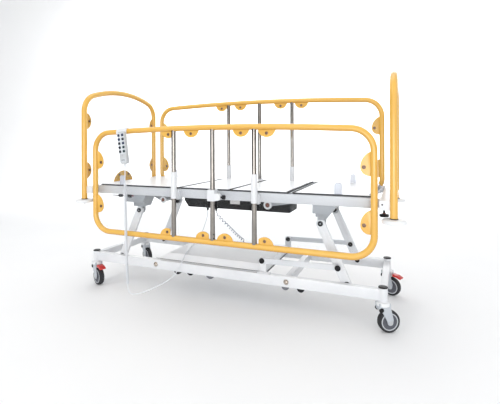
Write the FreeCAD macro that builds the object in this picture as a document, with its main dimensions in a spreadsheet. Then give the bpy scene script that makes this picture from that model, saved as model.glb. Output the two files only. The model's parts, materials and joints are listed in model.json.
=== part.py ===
import FreeCAD, Part
import os, math

# Pediatric hospital cot. Millimetres, +Z up, X along the length, -Y is the front side.
doc = FreeCAD.newDocument("Cot")
V = FreeCAD.Vector
R = FreeCAD.Rotation
PL = FreeCAD.Placement

# ------------------------------------------------------------------ dimensions
D = {
    # base
    "postLeft": -850.0, "postRight": 800.0, "baseHalf": 238.0, "beamWide": 30.0,
    "beamLow": 145.0, "beamTop": 195.0, "crossLow": 150.0, "crossTop": 190.0,
    "crossLeft": -409.0, "crossRight": 353.0, "postRad": 20.0, "postLow": 138.0,
    "postTop": 200.0, "capTop": 206.0, "wallThick": 2.5,
    "coverLeft": -430.0, "coverRight": 240.0, "coverHalf": 220.0, "coverTop": 226.0,
    # casters
    "wheelRad": 50.0, "wheelHalf": 14.5, "trail": 25.0, "axleRad": 4.0, "hubHalf": 15.5,
    # lift
    "armLowLeft": -671.0, "armHighLeft": -547.0, "armLowRight": 640.0,
    "armHighRight": 516.0, "armLow": 180.0, "armHigh": 462.0, "armRad": 22.0,
    "armIn": 205.0, "armOut": 221.0, "pinRad": 8.0, "pinFit": 0.05,
    "linkPinX": 602.0, "linkPinZ": 267.0, "linkEndX": 225.0, "linkEndZ": 258.0,
    # deck
    "deckLeft": -786.0, "deckRight": 764.0, "deckIn": 258.0, "deckOut": 288.0,
    "deckLow": 560.0, "deckTop": 606.0, "panelLow": 606.5, "panelTop": 614.5,
    "panelHalf": 284.0, "tubeLow": 565.0, "tubeTop": 590.0,
    "driveLow": 474.0, "driveHalf": 75.0,
    # side rails
    "railLine": 330.0, "railHalfLength": 770.0, "railRad": 15.0, "railLow": 350.0,
    "railCrown": 931.0, "railCorner": 100.0, "archRad": 13200.0, "railTravel": 194.0,
    "chromeRad": 12.5, "postFit": 0.05, "sleeveLow": 560.0, "sleeveTop": 700.0,
    "latchTop": 616.0, "sleeveRad": 16.0, "knobLine": 353.0,
    # end frames
    "endLine": 849.0, "legHalf": 336.0, "legRad": 16.0, "legLow": 527.0,
    "endCrown": 1183.0, "endArch": 860.0, "endCorner": 105.0, "endBar": 575.0,
    "discRad": 50.0, "discLow": 508.0,
    # handset
    "handX": -556.0, "handHalf": 24.0, "handLow": 737.0, "handHigh": 917.0,
    "handFront": 373.0, "handBack": 348.0, "keyRad": 7.5,
}
sheet = doc.addObject("Spreadsheet::Sheet", "dims")
for i, (k, v) in enumerate(D.items()):
    sheet.set("A%d" % (i + 1), k)
    sheet.set("B%d" % (i + 1), repr(v))
    sheet.setAlias("B%d" % (i + 1), k)
doc.recompute()


class W(dict):
    __getattr__ = dict.__getitem__


dims = W(D)
count = [0]


def num(e):
    """value of an expression in the sheet's aliases, for the sketches"""
    if isinstance(e, (int, float)):
        return float(e)
    return float(sheet_value(e))


def sheet_value(e):
    # the sheet works the sum out: a scratch property of a spare box holds it
    probe.setExpression("Length", "1000000 + (%s)" % e)
    probe.recompute()
    return probe.Length.Value - 1000000.0


probe = doc.addObject("Part::Box", "datum_probe")


def bind(o, prop, e):
    if isinstance(e, str):
        o.setExpression(prop, e)
    else:
        if prop.startswith("."):
            p = o.Placement
            setattr(p.Base, prop[-1], float(e))
            o.Placement = p
        else:
            setattr(o, prop, float(e))


def uid(n):
    count[0] += 1
    return "%s_%d" % (n, count[0])


def sub(a, b):
    if isinstance(a, (int, float)) and isinstance(b, (int, float)):
        return float(a) - float(b)
    return "(%s) - (%s)" % (a, b)


def box(x0, x1, y0, y1, z0, z1, n="blk"):
    o = doc.addObject("Part::Box", uid(n))
    bind(o, "Length", sub(x1, x0))
    bind(o, "Width", sub(y1, y0))
    bind(o, "Height", sub(z1, z0))
    o.Placement = PL(V(*[0 if isinstance(q, str) else q for q in (x0, y0, z0)]), R())
    for ax, q in zip("xyz", (x0, y0, z0)):
        if isinstance(q, str):
            o.setExpression(".Placement.Base." + ax, q)
    return o


def cyl(ax, x, y, z, r, length, angle=None, spin=0.0, n="cyl"):
    """cylinder from (x, y, z) along +ax"""
    o = doc.addObject("Part::Cylinder", uid(n))
    bind(o, "Radius", r)
    bind(o, "Height", length)
    if angle:
        o.Angle = angle
    rot = {"z": R(), "x": R(V(0, 1, 0), 90), "y": R(V(1, 0, 0), -90)}[ax]
    o.Placement = PL(V(*[0 if isinstance(q, str) else q for q in (x, y, z)]),
                     rot.multiply(R(V(0, 0, 1), spin)))
    for a, q in zip("xyz", (x, y, z)):
        if isinstance(q, str):
            o.setExpression(".Placement.Base." + a, q)
    return o


def fuse(parts, n="fuse"):
    if len(parts) == 1:
        return parts[0]
    o = doc.addObject("Part::MultiFuse", uid(n))
    o.Shapes = parts
    o.Refine = True
    return o


def cut(a, b, n="cut"):
    o = doc.addObject("Part::Cut", uid(n))
    o.Base = a
    o.Tool = b
    return o


def group(parts, n="grp"):
    o = doc.addObject("Part::Compound", uid(n))
    o.Links = parts
    return o


def mirror(a, normal, n="mir"):
    o = doc.addObject("Part::Mirroring", uid(n))
    o.Source = a
    o.Normal = V(*normal)
    o.Base = V(0, 0, 0)
    return o


def profile(body, plane, loops, off):
    """closed loops of points (x, y), ("c", x, y, r) circles or ("g", edges), on a body's own plane"""
    sk = body.newObject("Sketcher::SketchObject", uid("sketch"))
    base = [f for f in body.Origin.OriginFeatures if f.Role == plane][0]
    sk.AttachmentSupport = [(base, "")]
    sk.MapMode = "FlatFace"
    sk.AttachmentOffset = PL(V(0, 0, off), R())
    for lp in loops:
        if lp[0] == "c":
            sk.addGeometry(Part.Circle(V(lp[1], lp[2], 0), V(0, 0, 1), lp[3]), False)
            continue
        geo = lp[1] if lp[0] == "g" else rounded(lp)
        sk.addGeometry(geo, False)
    return sk


def rounded(pts):
    """closed outline; a point is (x, y) or (x, y, fillet radius)"""
    n = len(pts)
    ends = []
    for i in range(n):
        p = V(pts[i][0], pts[i][1], 0)
        r = pts[i][2] if len(pts[i]) > 2 else 0.0
        if not r:
            ends.append((p, p, None))
            continue
        a = V(pts[i - 1][0], pts[i - 1][1], 0) - p
        b = V(pts[(i + 1) % n][0], pts[(i + 1) % n][1], 0) - p
        a.normalize()
        b.normalize()
        ang = a.getAngle(b)
        t = r / math.tan(ang / 2)
        bis = a + b
        bis.normalize()
        c = p + bis * (r / math.sin(ang / 2))
        ends.append((p + a * t, p + b * t, c - bis * r))
    geo = []
    for i in range(n):
        s, e, m = ends[i]
        if m is not None:
            geo.append(Part.Arc(s, m, e))
        nxt = ends[(i + 1) % n][0]
        if (nxt - e).Length > 1e-6:
            geo.append(Part.LineSegment(e, nxt))
    return geo


def pad(plane, loops, lo, hi, n="plate"):
    """prism of the outline between lo and hi along the plane's world axis"""
    body = doc.addObject("PartDesign::Body", uid(n))
    a, b = num(lo), num(hi)
    sign = -1.0 if plane == "XZ_Plane" else 1.0
    sk = profile(body, plane, loops, sign * 0.5 * (a + b))
    p = body.newObject("PartDesign::Pad", uid("pad"))
    p.Profile = sk
    p.Midplane = True
    e = sub(hi, lo)
    if isinstance(e, str):
        p.setExpression("Length", e)
    else:
        p.Length = e
    sk.Visibility = False
    body.Tip = p
    return body


def stadium(x0, y0, x1, y1, r):
    """rounded bar outline about two centres"""
    d = V(x1 - x0, y1 - y0, 0)
    d.normalize()
    nn = V(-d.y, d.x, 0)
    a, b = V(x0, y0, 0), V(x1, y1, 0)
    pts = [a + nn * r - d * r, b + nn * r + d * r, b - nn * r + d * r, a - nn * r - d * r]
    return [(p.x, p.y, r * 0.999) for p in pts]


def sweep(wires, rad, place, closed=False, n="tube"):
    """round tube along a planar path sketch"""
    sk = doc.addObject("Sketcher::SketchObject", uid("path"))
    sk.addGeometry(wires, False)
    sk.Placement = place
    c = doc.addObject("Part::Circle", uid("section"))
    bind(c, "Radius", rad)
    g = wires[0]
    p0 = place.multVec(g.StartPoint)
    tan = place.Rotation.multVec(g.tangent(g.FirstParameter)[0])
    c.Placement = PL(p0, R(V(0, 0, 1), tan))
    s = doc.addObject("Part::Sweep", uid(n))
    s.Sections = [c]
    s.Spine = (sk, [])
    s.Solid = True
    s.Frenet = False
    return s


def arc3(c, r, a0, a1):
    """arc in travel order from angle a0 to a1 (degrees)"""
    m = 0.5 * (a0 + a1)
    f = lambda q: V(c[0] + r * math.cos(math.radians(q)), c[1] + r * math.sin(math.radians(q)), 0)
    return Part.Arc(f(a0), f(m), f(a1))


def arched(a, low, crown, ra, rc, closed):
    """frame outline: straight sides at +-a, arched top with crown height, corner radius rc"""
    cz = crown - ra
    kz = cz + math.sqrt((ra - rc) ** 2 - (a - rc) ** 2)
    th = math.degrees(math.atan2(kz - cz, a - rc))
    top = [(a, kz), (a - rc, kz, th), (-(a - rc), kz, 180 - th)]
    geo = []
    if closed:
        geo.append(Part.LineSegment(V(0, low, 0), V(a - rc, low, 0)))
        geo.append(arc3((a - rc, low + rc), rc, -90, 0))
        geo.append(Part.LineSegment(V(a, low + rc, 0), V(a, kz, 0)))
    else:
        geo.append(Part.LineSegment(V(a, low, 0), V(a, kz, 0)))
    geo.append(arc3((a - rc, kz), rc, 0, th))
    geo.append(arc3((0, cz), ra, th, 180 - th))
    geo.append(arc3((-(a - rc), kz), rc, 180 - th, 180))
    if closed:
        geo.append(Part.LineSegment(V(-a, kz, 0), V(-a, low + rc, 0)))
        geo.append(arc3((-(a - rc), low + rc), rc, 180, 270))
        geo.append(Part.LineSegment(V(-(a - rc), low, 0), V(0, low, 0)))
    else:
        geo.append(Part.LineSegment(V(-a, kz, 0), V(-a, low, 0)))
    return geo


nodes = {}


def node(name, o):
    o.Label = name
    nodes[name] = o
    return o


# ------------------------------------------------------------------ base
def base_beam(sgn):
    y0 = "dims.baseHalf - dims.beamWide / 2" if sgn > 0 else "-dims.baseHalf - dims.beamWide / 2"
    y1 = "dims.baseHalf + dims.beamWide / 2" if sgn > 0 else "-dims.baseHalf + dims.beamWide / 2"
    yc = "dims.baseHalf" if sgn > 0 else "-dims.baseHalf"
    outer = box("dims.postLeft", "dims.postRight", y0, y1, "dims.beamLow", "dims.beamTop")
    inner = box("dims.postLeft", "dims.postRight", y0 + " + dims.wallThick", y1 + " - dims.wallThick",
                "dims.beamLow + dims.wallThick", "dims.beamTop - dims.wallThick")
    c1 = cyl("z", "dims.postLeft", yc, "dims.beamLow - 20", "dims.postRad", 100)
    c2 = cyl("z", "dims.postRight", yc, "dims.beamLow - 20", "dims.postRad", 100)
    return cut(outer, fuse([inner, c1, c2]))


node("base_beam_front", base_beam(-1))
node("base_beam_back", base_beam(1))

ends = []
for px in ("dims.postLeft", "dims.postRight"):
    o = box(px + " - 15", px + " + 15", "-dims.baseHalf + dims.beamWide / 2", "dims.baseHalf - dims.beamWide / 2", "dims.crossLow", "dims.crossTop")
    i = box(px + " - 12.5", px + " + 12.5", "-dims.baseHalf", "dims.baseHalf", "dims.crossLow + dims.wallThick", "dims.crossTop - dims.wallThick")
    c1 = cyl("z", px, "dims.baseHalf", 100, "dims.postRad", 150)
    c2 = cyl("z", px, "-dims.baseHalf", 100, "dims.postRad", 150)
    ends.append(cut(o, fuse([i, c1, c2])))
for px in ("dims.crossLeft", "dims.crossRight"):
    o = box(px + " - 15", px + " + 15", "-dims.baseHalf + dims.beamWide / 2", "dims.baseHalf - dims.beamWide / 2", "dims.crossLow", "dims.crossTop")
    i = box(px + " - 12.5", px + " + 12.5", "-dims.baseHalf", "dims.baseHalf", "dims.crossLow + dims.wallThick", "dims.crossTop - dims.wallThick")
    ends.append(cut(o, i))
node("base_cross_beams", group(ends))

posts, caps = [], []
for px in ("dims.postLeft", "dims.postRight"):
    for py in ("-dims.baseHalf", "dims.baseHalf"):
        posts.append(cyl("z", px, py, "dims.postLow", "dims.postRad", "dims.postTop - dims.postLow"))
        a = cyl("z", px, py, "dims.postTop", "dims.postRad + 0.5", "dims.capTop - dims.postTop - 2")
        b = doc.addObject("Part::Cone", uid("cap"))
        b.setExpression("Radius1", "dims.postRad + 0.5")
        b.setExpression("Radius2", "dims.postRad - 4")
        b.Height = 2
        b.setExpression(".Placement.Base.x", px)
        b.setExpression(".Placement.Base.y", py)
        b.setExpression(".Placement.Base.z", "dims.capTop - 2")
        caps.append(fuse([a, b]))
node("corner_posts", group(posts))
node("corner_caps", group(caps))

pins = []
for px in ("dims.armLowLeft", "dims.armLowRight"):
    for sg in (1, -1):
        inner = "dims.baseHalf - dims.beamWide / 2"
        shank = cyl("y", px, "dims.armIn - 3" if sg > 0 else "-(" + inner + ")", "dims.armLow", "dims.pinRad", inner + " - dims.armIn + 3")
        washer = cyl("y", px, "dims.armOut + 0.5" if sg > 0 else "-(" + inner + ")", "dims.armLow", 19, inner + " - dims.armOut - 0.5")
        head = cyl("y", px, "dims.armIn - 6" if sg > 0 else "-dims.armIn + 1", "dims.armLow", 13, 5)
        pins.append(fuse([shank, washer, head]))
for px in ("dims.crossLeft", "dims.crossRight"):
    for sg in (1, -1):
        disc = cyl("y", px, "dims.baseHalf + dims.beamWide / 2" if sg > 0 else "-dims.baseHalf - dims.beamWide / 2 - 2", 170, 13, 2)
        ball = doc.addObject("Part::Sphere", uid("dome"))
        ball.Radius = 13
        ball.setExpression(".Placement.Base.x", px)
        ball.setExpression(".Placement.Base.y", "(dims.baseHalf + dims.beamWide / 2 - 4) * %d" % sg)
        ball.Placement = PL(V(ball.Placement.Base.x, ball.Placement.Base.y, 170), R())
        trim = box(px + " - 14", px + " + 14",
                   "dims.baseHalf + dims.beamWide / 2 + 1" if sg > 0 else "-dims.baseHalf - dims.beamWide / 2 - 20",
                   "dims.baseHalf + dims.beamWide / 2 + 20" if sg > 0 else "-dims.baseHalf - dims.beamWide / 2 - 1", 150, 192)
        cm = doc.addObject("Part::Common", uid("cap"))
        cm.Base, cm.Tool = ball, trim
        pins.append(fuse([disc, cm]))
node("base_pins", group(pins))

wd = doc.addObject("Part::Wedge", uid("cover"))
for prop, e in (("Xmin", "dims.coverLeft"), ("Xmax", "dims.coverRight"),
                ("Ymin", "0"), ("Ymax", "dims.coverTop - dims.crossTop"),
                ("Zmin", "-dims.coverHalf"), ("Zmax", "dims.coverHalf"),
                ("X2min", "dims.coverLeft + 70"), ("X2max", "dims.coverRight - 12"),
                ("Z2min", "-dims.coverHalf + 26"), ("Z2max", "dims.coverHalf - 26")):
    wd.setExpression(prop, e)
# the wedge grows along its own Y: turned so that it grows upwards
wd.Placement = PL(V(0, 0, D["crossTop"]), R(V(1, 0, 0), 90))
hollow = box("dims.coverLeft + 60", "dims.coverRight - 20", "-dims.coverHalf + 24", "dims.coverHalf - 24",
             "dims.crossTop - 1", "dims.coverTop - 3")
node("base_cover", cut(wd, hollow))


# ------------------------------------------------------------------ casters
def caster(tag, px, py, ang, pedal):
    ax = D["trail"]
    wr = D["wheelRad"]
    place = PL(V(D[px], py * D["baseHalf"], 0), R(V(0, 0, 1), ang))
    side = pad("XZ_Plane", [[(-26, 134), (26, 134), (26, 116, 8), (ax + 14, 62, 14), (ax + 10, 38, 10),
                             (ax - 10, 36, 10), (ax - 15, 56, 10), (-14, 99, 10), (-26, 104, 6)]], -21.5, 21.5, "fork")
    well = cyl("y", "dims.trail", "-dims.wheelHalf - 2.5", "dims.wheelRad", "dims.wheelRad + 4", "2 * dims.wheelHalf + 5")
    stem = cyl("z", 0, 0, 126, 19, 12)
    bowl = cyl("z", 0, 0, 118, 27, 17)
    fork = cut(fuse([side, stem, bowl]), well)
    axle = cyl("y", "dims.trail", -21.4, "dims.wheelRad", "dims.axleRad", 42.8)
    head1 = cyl("y", "dims.trail", 21.5, "dims.wheelRad", 9, 3)
    head2 = cyl("y", "dims.trail", -24.5, "dims.wheelRad", 9, 3)
    f = fuse([fork, axle, head1, head2])
    g = group([f])
    g.Placement = place
    node("caster_fork_" + tag, g)
    tyre = cyl("y", "dims.trail", "-dims.wheelHalf", "dims.wheelRad", "dims.wheelRad", "2 * dims.wheelHalf")
    t = doc.addObject("Part::Fillet", uid("tyre"))
    doc.recompute()
    t.Base = tyre
    t.Edges = [(i + 1, 6.0, 6.0) for i, e in enumerate(tyre.Shape.Edges)
               if e.Curve.TypeId == "Part::GeomCircle"]
    r1 = cyl("y", "dims.trail", "dims.wheelHalf - 2", "dims.wheelRad", 37, 10)
    r2 = cyl("y", "dims.trail", "-dims.wheelHalf - 8", "dims.wheelRad", 37, 10)
    hub = cyl("y", "dims.trail", "-dims.hubHalf", "dims.wheelRad", 12, "2 * dims.hubHalf")
    bore = cyl("y", "dims.trail", -24, "dims.wheelRad", "dims.axleRad + 0.05", 48)
    w = cut(fuse([cut(t, fuse([r1, r2])), hub]), bore)
    g = group([w])
    g.Placement = place
    node("caster_wheel_" + tag, g)
    if pedal:
        p = pad("XZ_Plane", [[(32, 111, 3), (37, 121, 3), (62, 118, 6), (84, 108, 3), (82, 100, 3), (58, 108, 6)]], -17, 17, "pedal")
        g = group([fuse([p, cyl("y", 34, -21, 116, 4, 42)])])
        g.Placement = place
        node("brake_pedal_" + tag, g)


caster("fl", "postLeft", -1, -23, True)
caster("fr", "postRight", -1, 30, False)
caster("bl", "postLeft", 1, -26, False)
caster("br", "postRight", 1, -24, True)

# ------------------------------------------------------------------ lift arms
def arm_pair(x0, x1):
    out = []
    for sg in (1, -1):
        lo, hi = ("dims.armIn", "dims.armOut") if sg > 0 else ("-dims.armOut", "-dims.armIn")
        out.append(pad("XZ_Plane", [stadium(D[x0], D["armLow"], D[x1], D["armHigh"], D["armRad"]),
                                    ("c", D[x0], D["armLow"], D["pinRad"] + D["pinFit"]),
                                    ("c", D[x1], D["armHigh"], D["pinRad"] + D["pinFit"])], lo, hi, "arm"))
    return out


node("lift_arms_left", group(arm_pair("armLowLeft", "armHighLeft")))
right = arm_pair("armLowRight", "armHighRight")
for sg in (1, -1):
    right.append(cyl("y", "dims.linkPinX", "dims.armOut" if sg > 0 else "-dims.armOut - 30", "dims.linkPinZ", 6, 30))
    right.append(cyl("y", "dims.linkPinX", "dims.armOut + 30" if sg > 0 else "-dims.armOut - 35", "dims.linkPinZ", 12, 5))
node("lift_arms_right", group([right[0], right[1], fuse(right[2:4]), fuse(right[4:6])]))

links = []
for sg in (1, -1):
    lo, hi = (237, 246) if sg > 0 else (-246, -237)
    bar = pad("XZ_Plane", [stadium(D["linkEndX"], D["linkEndZ"], D["linkPinX"], D["linkPinZ"], 13),
                           ("c", D["linkPinX"], D["linkPinZ"], 6.05)], lo, hi, "link")
    pin = cyl("y", "dims.linkEndX", 225 if sg > 0 else -237, "dims.linkEndZ", 3.5, 12)
    cap = cyl("y", "dims.linkEndX", 246 if sg > 0 else -251, "dims.linkEndZ", 12, 5)
    links.append(fuse([bar, pin, cap]))
node("link_bars", group(links))

cars = []
for sg in (1, -1):
    lo, hi = (225, 234) if sg > 0 else (-234, -225)
    ex, ez = D["linkEndX"], D["linkEndZ"]
    plate = pad("XZ_Plane", [[(ex - 18, 195.3), (ex + 18, 195.3), (ex + 18, ez + 18, 16), (ex - 18, ez + 18, 16)],
                             ("c", ex, ez, 12)], lo, hi, "upright")
    foot = box("dims.linkEndX - 24", "dims.linkEndX + 40", lo if sg > 0 else -250, 250 if sg > 0 else hi,
               "dims.beamTop + 0.3", "dims.beamTop + 6")
    cars.append(fuse([plate, foot]))
node("link_carriage", group(cars))


def stepped(xc, block, wing, ear):
    """stepped block under a side beam, with an ear inside the arm and a pin through the arm"""
    out = []
    for sg in (1, -1):
        def both(p, q):
            return (p, q) if sg > 0 else (-q, -p)
        z = D["armHigh"]
        bits = []
        for outline, (lo, hi) in ((block, both(188, 262)), (wing, both(261, 284)), (ear, both(190, 203))):
            bits.append(pad("XZ_Plane", [outline], lo, hi, "block"))
        pin = cyl("y", xc, 202 if sg > 0 else -221.3, "dims.armHigh", "dims.pinRad", 19.3)
        cap = cyl("y", xc, 221.3 if sg > 0 else -226, "dims.armHigh", 12.5, 4.7)
        out.append(fuse(bits + [pin, cap]))
    return group(out)


xl, xr, az = D["armHighLeft"], D["armHighRight"], D["armHigh"]
node("deck_brackets", stepped(
    xl, [(-588, 560), (-588, 518), (-555, 518), (-555, 492), (-487, 492), (-455, 560)],
    [(-588, 560), (-588, 518), (-474.8, 518), (-455, 560)],
    [(xl - 24, 494), (xl - 20, az - 20, 19), (xl + 20, az - 20, 19), (xl + 24, 494)]))
node("slide_blocks", stepped(
    xr, [(491, 559.5), (491, 520), (501, 520), (501, 501), (510, 501), (510, 488), (546, 488), (597, 551), (600, 559.5)],
    [(491, 559.5), (491, 520), (571.9, 520), (597, 551), (600, 559.5)],
    [(xr - 14, 503), (xr - 20, az - 20, 19), (xr + 20, az - 20, 19), (xr + 24, 490)]))

# ------------------------------------------------------------------ deck
for sg, nm in ((-1, "deck_beam_front"), (1, "deck_beam_back")):
    y0, y1 = ("dims.deckIn", "dims.deckOut") if sg > 0 else ("-dims.deckOut", "-dims.deckIn")
    o = box("dims.deckLeft", "dims.deckRight", y0, y1, "dims.deckLow", "dims.deckTop")
    i = box("dims.deckLeft", "dims.deckRight", y0 + " + 3", y1 + " - 3", "dims.deckLow + 3", "dims.deckTop - 3")
    node(nm, cut(o, i))
tubes = []
for x in (-766, -262, 86, 400, 744):
    o = box(x - 15, x + 15, "-dims.deckIn", "dims.deckIn", "dims.tubeLow", "dims.tubeTop")
    i = box(x - 12.5, x + 12.5, "-dims.deckIn", "dims.deckIn", "dims.tubeLow + 2.5", "dims.tubeTop - 2.5")
    tubes.append(cut(o, i))
node("deck_cross_tubes", group(tubes))

h = D["panelHalf"]
node("panel_back", pad("XY_Plane", [[(-784, -h, 22), (-233, -h, 4), (-233, h, 4), (-784, h, 22)]], "dims.panelLow", "dims.panelTop", "panel"))
node("panel_seat", pad("XY_Plane", [[(-227, -h, 4), (65, -h, 4), (65, h, 4), (-227, h, 4)]], "dims.deckTop", "dims.panelTop", "panel"))
node("panel_thigh", pad("XY_Plane", [[(71, -h, 4), (375, -h, 4), (375, h, 4), (71, h, 4)]], "dims.panelLow", "dims.panelTop", "panel"))
node("panel_calf", pad("XY_Plane", [[(396, -h, 4), (762, -h, 22), (762, h, 22), (396, h, 4)]], "dims.panelLow", "dims.panelTop", "panel"))

# backrest frame with its torque tube
bf = [box(-770, -250, 170, 190, 592.5, "dims.panelLow"), box(-770, -250, -190, -170, 592.5, "dims.panelLow"),
      box(-770, -750, -170, 170, 592.5, "dims.panelLow"), box(-500, -480, -170, 170, 592.5, "dims.panelLow"),
      cyl("y", -424, -150, 520, 13, 300), cyl("y", -424, -160, 520, 18, 10), cyl("y", -424, 150, 520, 18, 10)]
for sg in (1, -1):
    lo, hi = (140, 148) if sg > 0 else (-148, -140)
    bf.append(pad("XZ_Plane", [[(-424, 503, 6), (-406, 520, 12), (-432, 595), (-600, 595), (-620, 586, 5)]], lo, hi, "lever"))
    bf.append(box(-600, -440, 140 if sg > 0 else -190, 190 if sg > 0 else -140, 592.5, 596))
node("back_frame", fuse(bf))

tf = [box(90, 386, 140, 160, 592.5, "dims.panelLow"), box(90, 386, -160, -140, 592.5, "dims.panelLow"),
      box(379, 391, -280, 280, 606.3, 611),
      box(355, 375, -140, 140, 592.5, "dims.panelLow"), box(110, 130, -140, 140, 592.5, "dims.panelLow")]
for sg in (1, -1):
    lo, hi = (140, 148) if sg > 0 else (-148, -140)
    tf.append(pad("XZ_Plane", [[(205, 525, 10), (226, 504, 14), (247, 520, 6), (345, 536, 4), (345, 596), (205, 596)]], lo, hi, "lever"))
    tf.append(cyl("y", 226, 148 if sg > 0 else -160, 525, 21, 12))
node("thigh_frame", fuse(tf))

node("drive_box", pad("XZ_Plane", [[(-332, 565), (324, 565), (324, D["driveLow"]), (-304, D["driveLow"]), (-332, 512)]],
                      "-dims.driveHalf", "dims.driveHalf", "drive"))

# post sleeves and latch housings
FRONT = (-238.0, -8.0, 218.0)
BACK = (-224.0, 2.0, 224.0)
guides = []
for sg, xs in ((-1, FRONT), (1, BACK)):
    def both(p, q):
        return (p, q) if sg > 0 else (-q, -p)
    for k, x in enumerate(xs):
        yl = D["railLine"]
        if k == 1:
            y0, y1 = both(yl - 16, yl + 22)
            bits = [box(x - 20, x + 20, y0, y1, "dims.sleeveLow", "dims.latchTop")]
            y0, y1 = both(288, yl - 15)
            bits.append(box(x - 13, x + 13, y0, y1, 566, 602))
            y0, y1 = both(yl + 12, yl + 34)
            bits.append(pad("XZ_Plane", [[(x + 13, 566), (x + 58, 566, 16), (x + 58, 600, 16), (x + 13, 600)]], y0, y1, "tongue"))
        else:
            bits = [cyl("z", x, yl * sg, "dims.sleeveLow", "dims.sleeveRad", "dims.sleeveTop - dims.sleeveLow")]
            y0, y1 = both(288, 313)
            bits.append(box(x - 17, x + 17, y0, y1, 552, 603))
            y0, y1 = both(312, yl - 8)
            bits.append(box(x - 11, x + 11, y0, y1, 561, 603))
        tool = [cyl("z", x, yl * sg, 500, "dims.chromeRad + dims.postFit", 300)]
        if k == 1:
            tool.append(cyl("x", x + 10, "dims.knobLine" if sg > 0 else "-dims.knobLine", 583, 4.55, 60))
        guides.append(cut(fuse(bits), fuse(tool)))
node("rail_guides", group(guides))
for sg, x, nm in ((-1, FRONT[1], "latch_knob_front"), (1, BACK[1], "latch_knob_back")):
    y = "dims.knobLine" if sg > 0 else "-dims.knobLine"
    node(nm, fuse([cyl("x", x + 24, y, 583, 4.5, 40), cyl("x", x + 62, y, 583, 7, 5), cyl("x", x + 67, y, 583, 11, 13)]))


def retainers(x, z):
    out = []
    for sg in (1, -1):
        lo, hi = (275, 281) if sg > 0 else (-281, -275)
        out.append(pad("XZ_Plane", [[(x - 18, z), (x + 18, z), (x + 16, z + 53, 12), (x - 16, z + 53, 12)]], lo, hi, "flap"))
    return out


node("retainers_back", group(retainers(-620, D["panelTop"])))
zt = D["panelTop"]
leaning = pad("XZ_Plane", [[(744, zt), (774, zt), (811, zt + 42, 2), (806, zt + 45, 2), (771, zt + 4), (744, zt + 4)]], -258, -222, "flap")
node("retainers_calf", group(retainers(610, zt) + [leaning]))

# ------------------------------------------------------------------ end frames
def half_moon(ax, x, y, z, r, spin, t=5.0):
    """welded half-moon tab, thickness t along ax, flat side on the tube's centreline"""
    if ax == "y":
        return cyl("y", x, y - t / 2, z, r, t, 180, spin, "tab")
    return cyl("x", x - t / 2, y, z, r, t, 180, spin, "tab")


for sg, nm in ((-1, "left"), (1, "right")):
    xe = D["endLine"] * sg
    place = PL(V(xe, 0, 0), R(V(0, 1, 0), V(0, 0, 1), V(1, 0, 0)))
    hoop = sweep(arched(D["legHalf"], D["legLow"], D["endCrown"], D["endArch"], D["endCorner"], False), "dims.legRad", place)
    bar = cyl("y", xe, "-dims.legHalf", "dims.endBar", 12.5, "2 * dims.legHalf")
    tabs = [cyl("x", xe - 2.5, -D["legHalf"], z, 52, 5, 180, 0, "tab") for z in (985, 695)]
    tabs += [cyl("x", xe - 2.5, D["legHalf"], z, 52, 5, 180, 180, "tab") for z in (985, 695)]
    tabs.append(cyl("x", xe - 2.5, 0, "dims.endBar + 4", 95, 5, 180, 90, "tab"))
    frame = fuse([hoop, bar] + tabs)
    node("end_frame_" + nm, frame)
    x0, x1 = (790, 838) if sg > 0 else (-838, -790)
    main = box(x0, x1, "-dims.legHalf", "dims.legHalf", 562, 602)
    st = []
    for s2 in (1, -1):
        a, b = (261.5, 284.5) if s2 > 0 else (-284.5, -261.5)
        st.append(box(682 if sg > 0 else -800, 800 if sg > 0 else -682, a, b, 564, 602))
    legs = [cyl("z", xe, "dims.legHalf", 500, "dims.legRad", 200), cyl("z", xe, "-dims.legHalf", 500, "dims.legRad", 200)]
    bar2 = cyl("y", xe, -400, "dims.endBar", 12.5, 800)
    node("end_carrier_" + nm, cut(fuse([main] + st), fuse(legs + [bar2])))
    gx0, gx1 = (xe - 6.5, xe - 2.5) if sg > 0 else (xe + 2.5, xe + 6.5)
    node("end_panel_" + nm, pad("YZ_Plane", [[(-308, 624, 10), (308, 624, 10), (308, 1096, 90), (-308, 1096, 90)]], gx0, gx1, "clear"))
    discs = []
    for s2 in (1, -1):
        py = "dims.legHalf" if s2 > 0 else "-dims.legHalf"
        rim = cyl("z", xe, py, "dims.discLow", "dims.discRad", "dims.legLow - dims.discLow")
        nut = cyl("z", xe, py, "dims.discLow - 7", 9, 7)
        discs.append(fuse([rim, nut]))
    node("bumper_discs_" + nm, group(discs))
    kx = 808.0 * sg
    if sg < 0:
        knob = [cyl("z", kx, -290, 545, 5, 17), cyl("z", kx, -290, 527.5, 17, 17.5), cyl("z", kx, -290, 545, 9, 6)]
    else:
        knob = [cyl("z", kx, -290, 537, 4.5, 25), cyl("z", kx, -290, 527.5, 20, 11)]
    node("hand_knob_" + nm, fuse(knob))

# ------------------------------------------------------------------ side rails
def fin(x, way, z, y):
    """welded tab on an upright: long slope above, short one below, highest 8 under the middle"""
    f = lambda u, v: V(x + way * v, z - u, 0)
    a, m, b, n, c = f(-62, 0), f(-34.97, 36.24), f(8, 50), f(39.1, 34.3), f(45, 0)
    return pad("XZ_Plane", [("g", [Part.Arc(a, m, b), Part.Arc(b, n, c), Part.LineSegment(c, a)])], y - 2.5, y + 2.5, "fin")


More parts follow.
